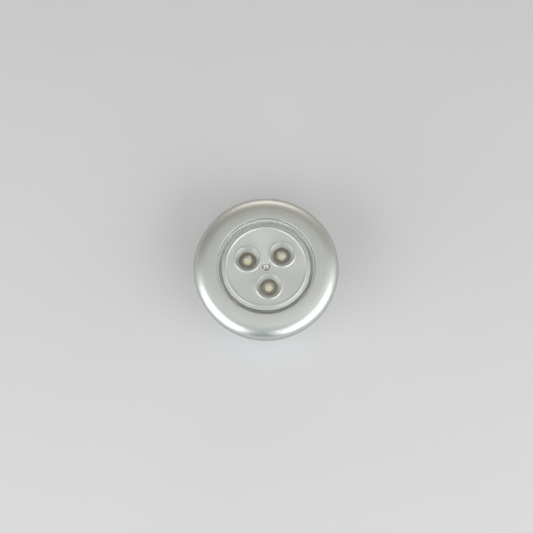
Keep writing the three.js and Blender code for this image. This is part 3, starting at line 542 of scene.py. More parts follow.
def dealt(places, *kinds):
    """Finish numbered copies of pieces for each move and turn, in place of the pieces themselves.

    Each kind is a piece, its material, its slot, its node and whether the turn matters to it."""
    for number, (move, turn) in enumerate(places, 1):
        for pattern, material, slot, node, turns in kinds:
            one = copied(pattern, f"{pattern.name}_{number}")
            settled(one, move, turn if turns else (0, 0, 0))
            finished(one, "housing", material, slot, f"{node}_{number}")
    for pattern, *_ in kinds:
        bpy.data.objects.remove(pattern, do_unlink=True)


def faced(piece, materials, choose):
    """Give the faces of a piece one of several materials, by a test on each face."""
    for material in materials:
        piece.data.materials.append(material)
    for face in piece.data.polygons:
        face.material_index = choose(face)


# ---------------------------------------------------------------- effects that materials share

def linked(tree, socket, value):
    """Link a socket to another, or set its value."""
    if isinstance(value, bpy.types.NodeSocket):
        tree.links.new(value, socket)
    else:
        socket.default_value = value


def put(tree, kind, **facts):
    """Add a node. Facts that name an attribute set it, others go to the input of that name."""
    made = tree.nodes.new(kind)
    for name, value in facts.items():
        if name.startswith("in_"):
            linked(tree, made.inputs[int(name[3:])], value)
        elif hasattr(made, name):
            setattr(made, name, value)
    for name, value in facts.items():
        if not name.startswith("in_") and not hasattr(made, name):
            linked(tree, made.inputs[name.replace("_", " ")], value)
    return made


def calc(tree, operation, *values, clamp=False):
    """A Math node's result."""
    made = tree.nodes.new("ShaderNodeMath")
    made.operation, made.use_clamp = operation, clamp
    for socket, value in zip(made.inputs, values):
        linked(tree, socket, value)
    return made.outputs[0]


def blended(tree, factor, first, second, kind="MIX"):
    """A mix of two colours."""
    made = tree.nodes.new("ShaderNodeMix")
    made.data_type, made.blend_type = "RGBA", kind
    linked(tree, made.inputs[0], factor)
    linked(tree, made.inputs[6], first)
    linked(tree, made.inputs[7], second)
    return made.outputs[2]


def ranged(tree, value, low, high, to_low=0.0, to_high=1.0):
    """A value spread from one range to another, and kept in it."""
    return put(tree, "ShaderNodeMapRange", Value=value, From_Min=low, From_Max=high,
               To_Min=to_low, To_Max=to_high).outputs[0]


def noise(tree, place, scale, detail, roughness=0.5):
    """A noise texture's value."""
    return put(tree, "ShaderNodeTexNoise", Vector=place, Scale=scale, Detail=detail,
               Roughness=roughness).outputs[0]


def vector_math(tree, operation, *values, **more):
    """A Vector Math node's result."""
    made = put(tree, "ShaderNodeVectorMath", operation=operation, **more)
    for socket, value in zip(made.inputs, values):
        linked(tree, socket, value)
    return made.outputs[0]


def shared(name, inputs, outputs):
    """Make a function that fills a node group into one that builds the group once and hands it out."""
    def wrap(fill):
        def get():
            if name in bpy.data.node_groups:
                return bpy.data.node_groups[name]
            group = bpy.data.node_groups.new(name, "ShaderNodeTree")
            sockets = group.interface
            sockets.new_socket("Vector", in_out="INPUT", socket_type="NodeSocketVector")
            for label, value in inputs.items():
                socket = sockets.new_socket(label, in_out="INPUT", socket_type="NodeSocketFloat")
                socket.default_value = value
            for label in outputs:
                kind = "NodeSocketVector" if label == "Normal" else "NodeSocketFloat"
                sockets.new_socket(label, in_out="OUTPUT", socket_type=kind)
            fill(group, group.nodes.new("NodeGroupInput").outputs,
                 group.nodes.new("NodeGroupOutput").inputs)
            return group
        return get
    return wrap


@shared("Moulded skin", {"Grain Scale": 9000.0, "Mottle Scale": 260.0}, ("Grain", "Mottle"))
def moulded_skin(group, start, end):
    """Fine grain and broad mottle of a moulded or painted surface."""
    broad = noise(group, start["Vector"], start["Mottle Scale"], 4.0, 0.55)
    group.links.new(noise(group, start["Vector"], start["Grain Scale"], 2.0, 0.6), end["Grain"])
    group.links.new(ranged(group, broad, 0.3, 0.7), end["Mottle"])


@shared("Worn edges", {"Onset": 0.52, "Spread": 0.08}, ("Wear",))
def worn_edges(group, start, end):
    """A mask of the outer edges, broken up by noise."""
    sharp = put(group, "ShaderNodeNewGeometry").outputs["Pointiness"]
    past = calc(group, "DIVIDE", calc(group, "SUBTRACT", sharp, start["Onset"]), start["Spread"],
                clamp=True)
    rubbed = ranged(group, noise(group, start["Vector"], 900.0, 3.0), 0.35, 0.6)
    group.links.new(calc(group, "MULTIPLY", past, rubbed), end["Wear"])


@shared("Settled dust", {"Amount": 0.1}, ("Dust",))
def settled_dust(group, start, end):
    """A mask of fine dust in drifts."""
    specks = ranged(group, noise(group, start["Vector"], 2600.0, 5.0, 0.75), 0.5, 0.75)
    clouds = ranged(group, noise(group, start["Vector"], 120.0, 3.0), 0.35, 0.65)
    both = calc(group, "MULTIPLY", specks, clouds)
    group.links.new(calc(group, "MULTIPLY", both, start["Amount"]), end["Dust"])


@shared("Paint flakes", {"Scale": 7000.0, "Tilt": 0.1}, ("Glint", "Normal"))
def paint_flakes(group, start, end):
    """Small flakes of metal in paint, each tilted its own way, and a painted glint value for each flake."""
    cells = put(group, "ShaderNodeTexVoronoi", Vector=start["Vector"], Scale=start["Scale"])
    centred = vector_math(group, "SUBTRACT", cells.outputs["Color"], (0.5, 0.5, 0.5))
    tilted = vector_math(group, "SCALE", centred, Scale=start["Tilt"])
    normal = put(group, "ShaderNodeNewGeometry").outputs["Normal"]
    flat = vector_math(group, "NORMALIZE", vector_math(group, "ADD", normal, tilted))
    # painted glint: a random value for each flake, which the paint uses to make that flake's colour lighter
    # or darker
    group.links.new(put(group, "ShaderNodeSeparateXYZ", in_0=centred).outputs[0], end["Glint"])
    group.links.new(flat, end["Normal"])


def use(tree, group, **values):
    """Place a shared effect in a material with the material's own values."""
    made = tree.nodes.new("ShaderNodeGroup")
    made.node_tree = group
    for name, value in values.items():
        linked(tree, made.inputs[name.replace("_", " ")], value)
    return made.outputs


# ---------------------------------------------------------------- materials

def kept(make):
    """Make a function that builds a material into one that builds each name once and hands it out."""
    def get(name, *values, **more):
        return bpy.data.materials.get(name) or make(name, *values, **more)
    return get


def node_of(tree, kind):
    """The first node of a kind."""
    return next(node for node in tree.nodes if node.type == kind)


def blank(name, grain_scale, mottle_scale):
    """A new material with its Principled shader, its object coordinates and its moulded skin."""
    material = bpy.data.materials.new(name)
    material.use_nodes = True
    tree = material.node_tree
    place = tree.nodes.new("ShaderNodeTexCoord").outputs["Object"]
    skin = use(tree, moulded_skin(), Vector=place, Grain_Scale=grain_scale, Mottle_Scale=mottle_scale)
    return material, tree, node_of(tree, "BSDF_PRINCIPLED"), place, skin


def toned(rgb, factor):
    """A colour made lighter or darker, with its alpha."""
    return (*[min(1.0, c * factor) for c in rgb], 1.0)


def uneven(tree, skin, roughness, less, more):
    """A roughness that varies with the mottle."""
    return ranged(tree, skin["Mottle"], 0.0, 1.0, roughness - less, roughness + more)


def aged(tree, place, colour, rubbed, wear, dust, tint, **edge):
    """A colour with worn edges and dust on it, and the mask of the dust."""
    worn = calc(tree, "MULTIPLY", use(tree, worn_edges(), Vector=place, **edge)["Wear"], wear)
    specks = use(tree, settled_dust(), Vector=place, Amount=dust)["Dust"]
    return blended(tree, specks, blended(tree, worn, colour, rubbed), tint), specks


def surfaced(tree, shader, colour, rough, height, depth, strength, **more):
    """Give a shader its colour, its roughness and a relief of some depth."""
    bump = put(tree, "ShaderNodeBump", Height=height, Distance=depth, Strength=strength, **more)
    tree.links.new(colour, shader.inputs["Base Color"])
    tree.links.new(rough, shader.inputs["Roughness"])
    tree.links.new(bump.outputs[0], shader.inputs["Normal"])


@kept
def moulded(name, rgb, roughness=0.45, metallic=0.0, grain=0.000006, grain_scale=9000.0, mottle=0.05,
            mottle_scale=260.0, wear=0.25, worn=None, dust=0.06):
    """Moulded plastic, painted plastic or plain metal: grain, mottle, worn edges and a little dust."""
    material, tree, shader, place, skin = blank(name, grain_scale, mottle_scale)
    colour = blended(tree, skin["Mottle"], toned(rgb, 1 - mottle), toned(rgb, 1 + mottle))
    colour, specks = aged(tree, place, colour, (*worn, 1.0) if worn else toned(rgb, 1.3), wear, dust,
                          (0.62, 0.60, 0.56, 1.0))
    rough = calc(tree, "ADD", uneven(tree, skin, roughness, 0.04, 0.04),
                 calc(tree, "MULTIPLY", specks, 0.4), clamp=True)
    surfaced(tree, shader, colour, rough, skin["Grain"], grain, 1.0)
    shader.inputs["Metallic"].default_value = metallic
    return material


@kept
def silver_paint(name, rgb, roughness, metallic, tilt):
    """Satin silver paint: metal flakes in a thin coat, with a painted glint that lightens or darkens each
    flake.
    """
    material, tree, shader, place, skin = blank(name, 5200.0, 150.0)
    flakes = use(tree, paint_flakes(), Vector=place, Scale=6500.0, Tilt=tilt)
    # painted glint: each flake's colour is made lighter or darker, as if it caught the light
    painted_glint = ranged(tree, flakes["Glint"], -0.5, 0.5)
    colour = blended(tree, painted_glint, toned(rgb, 0.9), toned(rgb, 1.1))
    colour = blended(tree, calc(tree, "MULTIPLY", skin["Mottle"], 0.35), colour, toned(rgb, 0.94))
    colour, specks = aged(tree, place, colour, toned(rgb, 1.25), 0.25, 0.05, (0.62, 0.60, 0.57, 1.0),
                          Onset=0.54)
    surfaced(tree, shader, colour, uneven(tree, skin, roughness, 0.03, 0.03), skin["Grain"], 0.000004,
             0.6, Normal=flakes["Normal"])
    tree.links.new(calc(tree, "SUBTRACT", metallic, specks, clamp=True), shader.inputs["Metallic"])
    shader.inputs["Specular Tint"].default_value = (0.62, 0.63, 0.64, 1.0)
    return material


@kept
def clear_plastic(name, tint, roughness, ior, ripple, haze, milk=0.0):
    """Clear plastic that lets light through to what lies under it."""
    material, tree, shader, _, skin = blank(name, 1400.0, 180.0)
    colour = blended(tree, skin["Mottle"], (*tint, 1.0), toned(tint, 0.985))
    surfaced(tree, shader, colour, uneven(tree, skin, roughness, 0.0, haze), skin["Grain"], ripple, 0.5)
    shader.inputs["Transmission Weight"].default_value = 1.0 - milk
    shader.inputs["IOR"].default_value = ior
    clear = put(tree, "ShaderNodeBsdfTransparent", Color=(*tint, 1.0))
    shadow = put(tree, "ShaderNodeLightPath").outputs["Is Shadow Ray"]
    mix = put(tree, "ShaderNodeMixShader", in_0=shadow, in_1=shader.outputs[0], in_2=clear.outputs[0])
    tree.links.new(mix.outputs[0], node_of(tree, "OUTPUT_MATERIAL").inputs["Surface"])
    return material


@kept
def metal_coat(name, rgb, roughness):
    """Vacuum-metallised plastic: a bright coat over a surface that isn't quite even."""
    material, tree, shader, place, skin = blank(name, 700.0, 120.0)
    colour = blended(tree, skin["Mottle"], toned(rgb, 0.97), toned(rgb, 1.03))
    specks = use(tree, settled_dust(), Vector=place, Amount=0.05)["Dust"]
    colour = blended(tree, specks, colour, (0.7, 0.69, 0.66, 1.0))
    surfaced(tree, shader, colour, uneven(tree, skin, roughness, 0.03, 0.04), skin["Grain"], 0.00001,
             0.5)
    shader.inputs["Metallic"].default_value = 0.95
    return material


@kept
def phosphor(name, rgb):
    """Phosphor in clear resin: powdery, and paler where it is thin."""
    material, tree, shader, _, skin = blank(name, 16000.0, 1500.0)
    colour = blended(tree, skin["Mottle"], toned(rgb, 0.92), toned(rgb, 1.06))
    colour = blended(tree, calc(tree, "MULTIPLY", skin["Grain"], 0.25), colour, (0.93, 0.9, 0.74, 1.0))
    surfaced(tree, shader, colour, ranged(tree, skin["Grain"], 0.3, 0.7, 0.45, 0.7), skin["Grain"],
             0.00001, 0.7)
    return material


@kept
def foam(name, rgb):
    """Closed-cell foam: pores with painted shade in their pits, and a soft mottled tone."""
    material, tree, shader, place, skin = blank(name, 3500.0, 400.0)
    pores = put(tree, "ShaderNodeTexVoronoi", Vector=place, Scale=4200.0).outputs["Distance"]
    pore_depth_and_shade = ranged(tree, pores, 0.1, 0.5)
    # painted shade: the pores are darker towards their bottoms; the same mask also gives their depth
    colour = blended(tree, pore_depth_and_shade, toned(rgb, 0.86), toned(rgb, 1.04))
    colour = blended(tree, calc(tree, "MULTIPLY", skin["Mottle"], 0.4), colour, toned(rgb, 0.93))
    surfaced(tree, shader, colour, ranged(tree, skin["Grain"], 0.2, 0.8, 0.85, 1.0), pore_depth_and_shade, 0.00006, 0.9)
    return material


@kept
def banded(name, rgb, bands, centre, direction, roughness, metallic=0.0, marks=()):
    """A sleeve or coat with coloured bands across an axis that lies level, and generic marks on it."""
    material, tree, shader, place, skin = blank(name, 4000.0, 300.0)
    moved = vector_math(tree, "SUBTRACT", place, centre)
    spun = put(tree, "ShaderNodeVectorRotate", rotation_type="Z_AXIS", Vector=moved,
               Angle=-direction).outputs[0]
    along, across = put(tree, "ShaderNodeSeparateXYZ", in_0=spun).outputs[:2]
    colour = blended(tree, skin["Mottle"], toned(rgb, 0.92), toned(rgb, 1.08))
    for low, high, tint in bands:
        inside = calc(tree, "MULTIPLY", calc(tree, "GREATER_THAN", along, low),
                      calc(tree, "LESS_THAN", along, high))
        colour = blended(tree, inside, colour, (*tint, 1.0))
    for x, long, wide, tint in marks:
        off = calc(tree, "ABSOLUTE", calc(tree, "SUBTRACT", along, x))
        inside = calc(tree, "MULTIPLY", calc(tree, "LESS_THAN", off, long),
                      calc(tree, "LESS_THAN", calc(tree, "ABSOLUTE", across), wide))
        colour = blended(tree, inside, colour, (*tint, 1.0))
    surfaced(tree, shader, colour, uneven(tree, skin, roughness, 0.04, 0.04), skin["Grain"], 0.000004,
             0.5)
    shader.inputs["Metallic"].default_value = metallic
    return material


def bright_steel():
    """Nickel-plated sheet steel."""
    return moulded("Plated steel", (0.62, 0.615, 0.60), roughness=0.24, metallic=1.0, grain=0.000002,
                   mottle=0.05, wear=0.1, dust=0.03)


def screw_steel():
    """Zinc-plated screws."""
    return moulded("Zinc plate", (0.55, 0.56, 0.57), roughness=0.32, metallic=1.0, grain=0.000003,
                   mottle=0.08, mottle_scale=900.0, wear=0.3, worn=(0.75, 0.75, 0.75), dust=0.03)


def solder():
    """Tin solder."""
    return moulded("Solder", (0.70, 0.70, 0.69), roughness=0.2, metallic=1.0, grain=0.000006,
                   grain_scale=2500.0, mottle=0.08, mottle_scale=1500.0, wear=0.0, dust=0.02)


def spring_steel():
    """Drawn spring wire."""
    return moulded("Spring wire", (0.50, 0.50, 0.505), roughness=0.28, metallic=1.0, grain=0.000002,
                   grain_scale=14000.0, mottle=0.06, wear=0.1, dust=0.02)


# ---------------------------------------------------------------- pieces

def cup_spots():
    """Places of the reflector's cups, and of the LEDs in them."""
    r = settings().reflector
    return [around(r.circle, direction) for direction in spread(3, r.first)]


def gap_directions():
    """Directions halfway between the cups, where the clips and the board's screws are."""
    return spread(3, settings().reflector.first + TURN / 6)


def screw_spots():
    """Places of the housing screws."""
    return [around(settings().housing.screw_circle, direction) for direction in HOUSING_SCREWS]


def ring_outline(s):
    """Outline of the front ring."""
    shoulder, inner, lip = s.top - s.drop, s.outer - s.wall, s.opening + s.lip_width
    chamfer, slope = 0.3 * MM, math.radians(4)
    return softened([
        (inner, s.foot), (s.outer - chamfer, s.foot), (s.outer, s.foot + chamfer),
        *arc(s.flat, shoulder, s.outer - s.flat, s.drop - s.fall, 0, QUARTER - slope, 2 * ARC_STEPS),
        *arc(s.opening + s.edge, s.top - s.edge, s.edge, s.edge, QUARTER, 2 * QUARTER, steps=8),
        (s.opening, s.top - s.lip), (lip, s.top - s.lip), (lip, s.top - s.wall),
        *arc(s.flat, shoulder, inner - s.flat, s.drop - s.wall, QUARTER, 0)
    ], FINE)


def build_ring():
    """Front ring with its four screw bosses."""
    s, h = settings().ring, settings().housing
    ring = turned("ring_shell", ring_outline(s))
    boss, gap = 2.3 * MM, 0.3 * MM
    tip, low, high = h.screw_seat + SCREW_LENGTH + gap, h.deck + gap, s.top - s.wall + gap
    pattern = turned("boss", softened([
        (0.0, tip), (SCREW_BORE, tip - gap), (SCREW_BORE, low), (boss, low), (boss, high), (0.0, high)
    ], 0.15 * MM), SMALL_STEPS)
    joined(ring, *repeated(pattern, at(screw_spots())))
    paint = silver_paint("Satin silver paint", tuple(s.colour), roughness=0.30, metallic=0.88, tilt=0.08)
    finished(ring, "housing", paint, "ring_silver", "front_ring")


def lens_outline(s, top):
    """Outline of the push lens, from its crown to the underside of its face."""
    under, inner, shoulder = top - s.wall, s.outer - s.skirt, top - s.drop
    wide, rings = s.outer - s.flat, 6
    crown = [(s.flat * k / rings, top + s.crown * (1 - (k / rings) ** 2)) for k in range(rings)]
    bead = (s.flat + wide * math.cos(s.bead_at), shoulder + s.drop * math.sin(s.bead_at))
    # the shoulder's arc stops this far short of the bead's middle
    reach = 1.3 * s.bead / s.drop
    return softened([
        *crown,
        *arc(s.flat, shoulder, wide, s.drop, QUARTER, s.bead_at + reach, steps=12),
        *arc(*bead, s.bead, s.bead, QUARTER + s.bead_at / 2, s.bead_at - QUARTER, steps=8),
        *arc(s.flat, shoulder, wide, s.drop, s.bead_at - reach, 0, steps=8),
        (s.outer, s.flange_top), (s.flange, s.flange_top), (s.flange, s.flange_top - s.flange_thick),
        (inner, s.flange_top - s.flange_thick),
        *arc(s.flat, shoulder, inner - s.flat, s.drop - s.wall, 0, QUARTER, steps=10),
        (0.0, under)
    ], FINE)


def blade(wide, reach, foot, top, direction):
    """A rib out from the axis, whose lower edge is a keel of two slanted faces."""
    start, half, slant = 0.2 * MM, wide / 2, wide / math.sqrt(8)
    web = slab("web", (start, -half, foot + half), (reach, half, top))
    settled(web, turn=(0, 0, direction))
    keel = slab("keel", (start, -slant, -slant), (reach, slant, slant))
    settled(keel, (0, 0, foot + half), (QUARTER / 2, 0, direction))
    return joined(web, keel)


def build_lens():
    """Push lens with its centre post and the clips that hold the reflector."""
    s, r = settings().lens, settings().reflector
    top = settings().ring.top
    lens = turned("push_lens", lens_outline(s, top))
    post_top = top - s.wall + BEVEL
    ridge = (s.post_hollow + s.post) / 2
    slant = ridge - s.post_hollow
    post = turned("post", [
        (0.0, s.gusset_foot), (s.post_hollow, s.gusset_foot), (s.post_hollow, s.post_foot + slant),
        (ridge, s.post_foot), (s.post, s.post_foot + slant), (s.post, post_top), (0.0, post_top)
    ], SMALL_STEPS)
    joined(post, *[blade(s.web, s.gusset, s.gusset_foot, post_top, direction)
                   for direction in spread(4, r.first + TURN / 24)])
    play, hold, span = 0.1 * MM, 0.4 * MM, math.radians(10)
    clip = sector("clip", r.outer - hold, s.outer - s.skirt / 2, r.under - hold, r.under - play, span)
    joined(lens, post, *repeated(clip, fanned(gap_directions())))
    clear = clear_plastic("Clear lens", (0.985, 0.99, 0.99), roughness=0.0, ior=1.49,
                          ripple=0.000004, haze=0.02)
    frosted = clear_plastic("Frosted skirt", (0.97, 0.975, 0.975), roughness=0.12, ior=1.49,
                            ripple=0.0, haze=0.03, milk=0.5)
    low, far = top - s.drop - 0.2 * MM, s.outer - 1.5 * s.skirt
    faced(lens, [clear, frosted],
          lambda face: int(face.center.z < low and face.center.xy.length > far))
    finished(lens, "push_cap", None, "clear_lens", "lens_cover")


def cup_outline(r):
    """Outline of one reflector cup, with a small fillet where its lip meets the plate."""
    crest = r.mouth + r.lip / 2
    bore_top, foot = r.face - r.cone, r.face - r.depth
    bevel, slope = 0.1 * MM, math.radians(24)
    fillet = [(crest + out * r.lip, r.face + up * MM) for out, up in ((1, 0), (0.72, 0.02), (0.56, 0.09))]
    return [
        (r.bore, foot + bevel), (r.bore + bevel, foot), (r.bore + r.wall, foot),
        (r.bore + r.wall, bore_top), (r.mouth, r.under), (crest + r.lip, r.under + bevel), *fillet,
        *arc(crest, r.face, r.lip / 2, r.rise, slope, 2 * QUARTER, steps=14),
        (r.bore + bevel, bore_top + 0.13 * MM), (r.bore, bore_top - 0.05 * MM)
    ]


def dish_outline(r):
    """Outline of the reflector plate, whose rim steps down under the flange of the lens."""
    low = r.rim_top - r.rim_thick
    return softened([
        (r.post_hole, r.under), (r.outer - r.wall, r.under), (r.outer - r.wall, low), (r.rim, low),
        (r.rim, r.rim_top), (r.outer, r.rim_top), (r.outer, r.face),
        *arc(r.edge_lip, r.face, r.edge_wide, r.edge_rise, 0, 2 * QUARTER, 12), (r.post_hole, r.face)
    ], 0.2 * MM)


def build_reflector():
    """Reflector plate with its three cups and the windows for the lens clips."""
    r = settings().reflector
    plate = turned("reflector_dish", dish_outline(r))
    inside, cups = r.outer - r.wall, at(cup_spots())
    way = bar("way", r.mouth + r.lip / 2, r.under - MM, r.face + MM, CUP_STEPS)
    window = sector("window", inside - MM, r.outer + MM, r.rim_top, r.under, math.radians(12))
    carved(plate, *repeated(way, cups), *repeated(window, fanned(gap_directions())))
    joined(plate, *repeated(turned("cup", cup_outline(r), CUP_STEPS), cups))
    bare = moulded("Bare plastic", tuple(r.bare), roughness=0.45, mottle=0.06, wear=0.0, dust=0.03)
    coats = [metal_coat("Metal coat", tuple(r.colour), 0.36), bare,
             metal_coat("Cup coat", tuple(r.colour), 0.45)]
    bore_top, cup_top, downward = r.face - r.cone - LAP, r.face - 0.1 * MM, -0.3

    def coat_of(face):
        within = face.center.xy.length < inside
        if face.normal.z < downward or (within and face.center.z < bore_top):
            return 1
        return 2 if within and face.center.z < cup_top else 0

    faced(plate, coats, coat_of)
    finished(plate, "push_cap", None, "reflector_silver", "reflector_plate")


def led_leads(s):
    """Cathode lead with the cup for the die, and anode lead, of one LED on the axis."""
    half, out = s.lead / 2, s.pitch / 2
    rim, floor = s.cup - FINE, s.cup_top - 0.35 * MM
    cup = turned("cup", [
        (0.0, floor), (0.6 * MM, floor), (rim, s.cup_top), (s.cup, s.cup_top),
        (s.cup, s.cup_foot + 0.1 * MM), (s.cup - 0.1 * MM, s.cup_foot), (0.0, s.cup_foot)
    ], SMALL_STEPS)
    arm = slab("arm", (-half, -out, s.cup_foot - s.lead), (half, 0, s.cup_foot + BEVEL), BEVEL)
    cathode = slab("led_cathode", (-half, -out - half, s.tail), (half, -out + half, s.cup_foot), BEVEL)
    anode = slab("led_anode", (-half, out - half, s.tail), (half, out + half, s.cup_top - 0.25 * MM),
                 BEVEL)
    head = slab("head", (-half, 0.95 * MM + half, s.cup_top - 0.5 * MM), (half, out + half, s.cup_top),
                BEVEL)
    return joined(cathode, arm, cup), joined(anode, head)


def build_leds():
    """LEDs: clear epoxy body, cathode lead with its die cup, anode lead and phosphor."""
    s, r = settings().led, settings().reflector
    flange_top, fill = s.foot + s.flange_high, s.cup_top - 0.3 * MM
    body = turned("led_epoxy", softened([
        (0.0, s.foot), (s.flange, s.foot), (s.flange, flange_top), (s.radius, flange_top),
        *arc(0, s.tip - s.dome, s.radius, s.dome, 0, QUARTER)[:-1], (0.0, s.tip)
    ], 0.1 * MM), CELL_STEPS)
    cathode, anode = led_leads(s)
    drop = turned("led_phosphor", [
        (0.0, fill), (0.58 * MM, fill), (0.86 * MM, s.cup_top),
        *arc(0, s.cup_top + LAP, 0.84 * MM, 0.3 * MM, 0, QUARTER, steps=8)[:-1],
        (0.0, s.cup_top + LAP + 0.3 * MM)
    ], SMALL_STEPS)
    epoxy = clear_plastic("Clear epoxy", (0.955, 0.955, 0.87), roughness=0.0, ior=1.54,
                          ripple=0.000003, haze=0.03, milk=0.24)
    glow = phosphor("Phosphor", tuple(s.phosphor))
    dealt([((*spot, 0), (0, 0, direction)) for spot, direction in zip(cup_spots(), spread(3, r.first))],
          (body, epoxy, "led_clear", "led", False),
          (cathode, bright_steel(), "tinned_metal", "led_frame", True),
          (anode, bright_steel(), "tinned_metal", "led_lead", True),
          (drop, glow, "led_phosphor", "led_chip", False))


def cone_radius(h, height):
    """Outer radius of the housing's cone at a height."""
    rise = (h.shoulder - h.back_radius) / (h.top - h.rim_thick - h.back)
    return h.back_radius + (height - h.back) * rise


def housing_outline(h):
    """Outline of the rear housing's turned body."""
    def inner(height):
        return cone_radius(h, height) - h.wall
    rim_under = h.top - h.rim_thick
    return softened([
        (0.0, h.deck_under), (inner(h.deck_under), h.deck_under), (inner(h.lip), h.lip),
        (h.mouth, h.lip), (h.mouth, h.back), (h.back_radius, h.back),
        (h.shoulder, rim_under - 0.3 * MM), (h.rim, rim_under), (h.rim, h.top), (h.spigot, h.top),
        (h.spigot, h.spigot_top), (h.inner, h.spigot_top), (h.inner, h.deck), (0.0, h.deck)
    ], 0.22 * MM)


def bay_blocks(h, p):
    """Walls, dividers and contact rails of the battery bay."""
    end, side = h.bay_length + 1.2 * MM, h.bay_width + h.bay_wall
    foot, top = h.deck_under - p.cell - 0.3 * MM, h.deck - 0.2 * MM
    reach, half = p.contact - p.spring, 0.5 * MM
    blocks = []
    for way in (-1, 1):
        near, far = sorted((way * h.bay_length, way * end))
        blocks.append(slab("end_wall", (near, -side, h.lip - LAP), (far, side, top)))
        near, far = sorted((way * h.bay_width, way * side))
        blocks.append(slab("side_wall", (-end, near, foot), (end, far, top)))
        middle = way * p.pitch / 2
        blocks.append(slab("divider", (-reach, middle - half, h.deck_under - 2.2 * MM),
                           (reach, middle + half, top)))
    rail, room = 0.8 * MM, 3.1 * MM
    for way, low, high in ((-1, p.pitch, p.pitch), (1, 0, p.pitch), (-1, -p.pitch, 0),
                           (1, -p.pitch, -p.pitch)):
        near, far = sorted((way * (h.bay_length - MM), way * (h.bay_length + 0.6 * MM)))
        for y in (low - room - rail, high + room):
            blocks.append(slab("rail", (near, y, p.cell_axis - PLATE), (far, y + rail, h.deck_under + LAP)))
    return blocks


def build_housing():
    """Rear housing: flared wall, rim, deck, battery bay, screw posts and bayonet lip."""
    h, p, c = settings().housing, settings().power, settings().cover
    body = turned("rear_housing", housing_outline(h))
    screws, board = at(screw_spots()), at([around(p.board_screws, a) for a in gap_directions()])
    post = bar("post", 3.15 * MM, h.screw_seat - 2.4 * MM, h.deck_under + LAP)
    fittings = bay_blocks(h, p) + repeated(post, screws)
    stop = math.radians(2.5)
    reach = c.lug_span / 2 + math.radians(1) + stop / 2
    ends = [lug + away for lug in LUGS for away in (-reach, c.twist + reach)]
    fittings += repeated(sector("stop", h.mouth, h.rim, h.lip - LAP, c.lug_top, stop), fanned(ends))
    fitting = joined(*fittings)
    skin = h.wall / 2
    envelope = turned("envelope", [(0.0, h.back), (h.back_radius - skin, h.back),
                                   (cone_radius(h, h.deck) - skin, h.deck), (0.0, h.deck)])
    fitted(fitting, [envelope], "INTERSECT")
    boss = bar("boss", 2.2 * MM, h.deck_under + 0.1 * MM, p.board_under, edge=0.15 * MM)
    joined(body, fitting, *repeated(boss, board))
    notch = sector("notch", h.mouth - MM, c.lug + c.play, h.back - MM, h.lip + LAP, c.notch_span)
    bore = bar("bore", SCREW_BORE, h.screw_seat - MM, h.deck + MM)
    counterbore = bar("counterbore", 2.15 * MM, h.back - MM, h.screw_seat)
    board_bore = bar("board_bore", BOARD_BORE, h.deck_under - MM, p.board_under + MM)
    carved(body, *repeated(notch, fanned([lug + c.twist for lug in LUGS])), *repeated(bore, screws),
           *repeated(counterbore, screws), *repeated(board_bore, board))
    play, half = 0.1 * MM, 1.5 * MM
    for way in (-1, 1):
        y = -way * p.pitch
        near, far = sorted((way * (p.contact - play), way * (h.bay_length + play)))
        carved(body, slab("slot", (near, y - half, h.deck_under - LAP), (far, y + half, h.deck + MM)))
    paint = silver_paint("Housing silver", tuple(h.colour), roughness=0.42, metallic=0.55, tilt=0.06)
    finished(body, "housing", paint, "housing_silver", "base_shell")


def build_cover():
    """Twist-off cover with its bayonet lugs, thumb recesses and the recess for the pad."""
    c = settings().cover
    recess, bevel = c.pad + c.play, 0.4 * MM
    cover = turned("twist_cover", softened([
        (0.0, c.pad_thick), (recess, c.pad_thick), (recess, c.back), (c.radius - bevel, c.back),
        (c.radius, c.back + bevel), (c.radius, c.inside), (0.0, c.inside)
    ], 0.2 * MM))
    wall, root = c.radius - 1.2 * MM, c.radius - 0.6 * MM
    lug_wall = sector("lug_wall", wall, c.radius, c.inside - bevel, c.lug_top, c.lug_span)
    lug = sector("lug", root, c.lug, c.lug_under, c.lug_top, c.lug_span)
    joined(cover, *repeated(lug_wall, fanned(LUGS)), *repeated(lug, fanned(LUGS)))
    thumb, deep = (c.radius - c.pad) / 2 - 0.4 * MM, 0.7 * MM
    pattern = turned("thumb", [
        (0.0, c.back - MM), (thumb, c.back - MM), (thumb, c.back),
        *arc(0, c.back, thumb, deep, 0, QUARTER, steps=10)[1:-1], (0.0, c.back + deep)
    ], MID_STEPS)
    middle = (c.pad + c.radius) / 2
    carved(cover, *repeated(pattern, at([(middle, 0), (-middle, 0)])))
    plastic = moulded("Cover plastic", tuple(c.colour), roughness=0.5, grain=0.00002,
                      grain_scale=3600.0, mottle=0.03, wear=0.3, dust=0.05)
    finished(cover, "cover", plastic, "cover_grey", "back_cover")


def build_pad():
    """Foam pad with the paper liner on its adhesive face."""
    c = settings().cover
    liner_top, bulge = 0.1 * MM, 0.42 * MM
    pad = turned("foam_pad", [
        (0.0, 0.0), (c.pad - 0.05 * MM, 0.0), (c.pad, 0.03 * MM), (c.pad, liner_top),
        (c.pad - FINE, 0.14 * MM),
        *arc(c.pad - 0.5 * MM, 0.55 * MM, bulge, bulge, -0.8 * QUARTER, 0.9 * QUARTER, steps=10),
        (c.pad - 0.55 * MM, c.pad_thick), (0.0, c.pad_thick)
    ])
    liner = moulded("Liner paper", (0.78, 0.72, 0.55), roughness=0.4, grain=0.000008,
                    grain_scale=5000.0, mottle=0.04, mottle_scale=150.0, wear=0.0, dust=0.0)
    faced(pad, [foam("Foam", tuple(c.foam)), liner],
          lambda face: int(face.center.z < liner_top + LAP))
    finished(pad, "cover", None, "foam_white", "adhesive_pad")


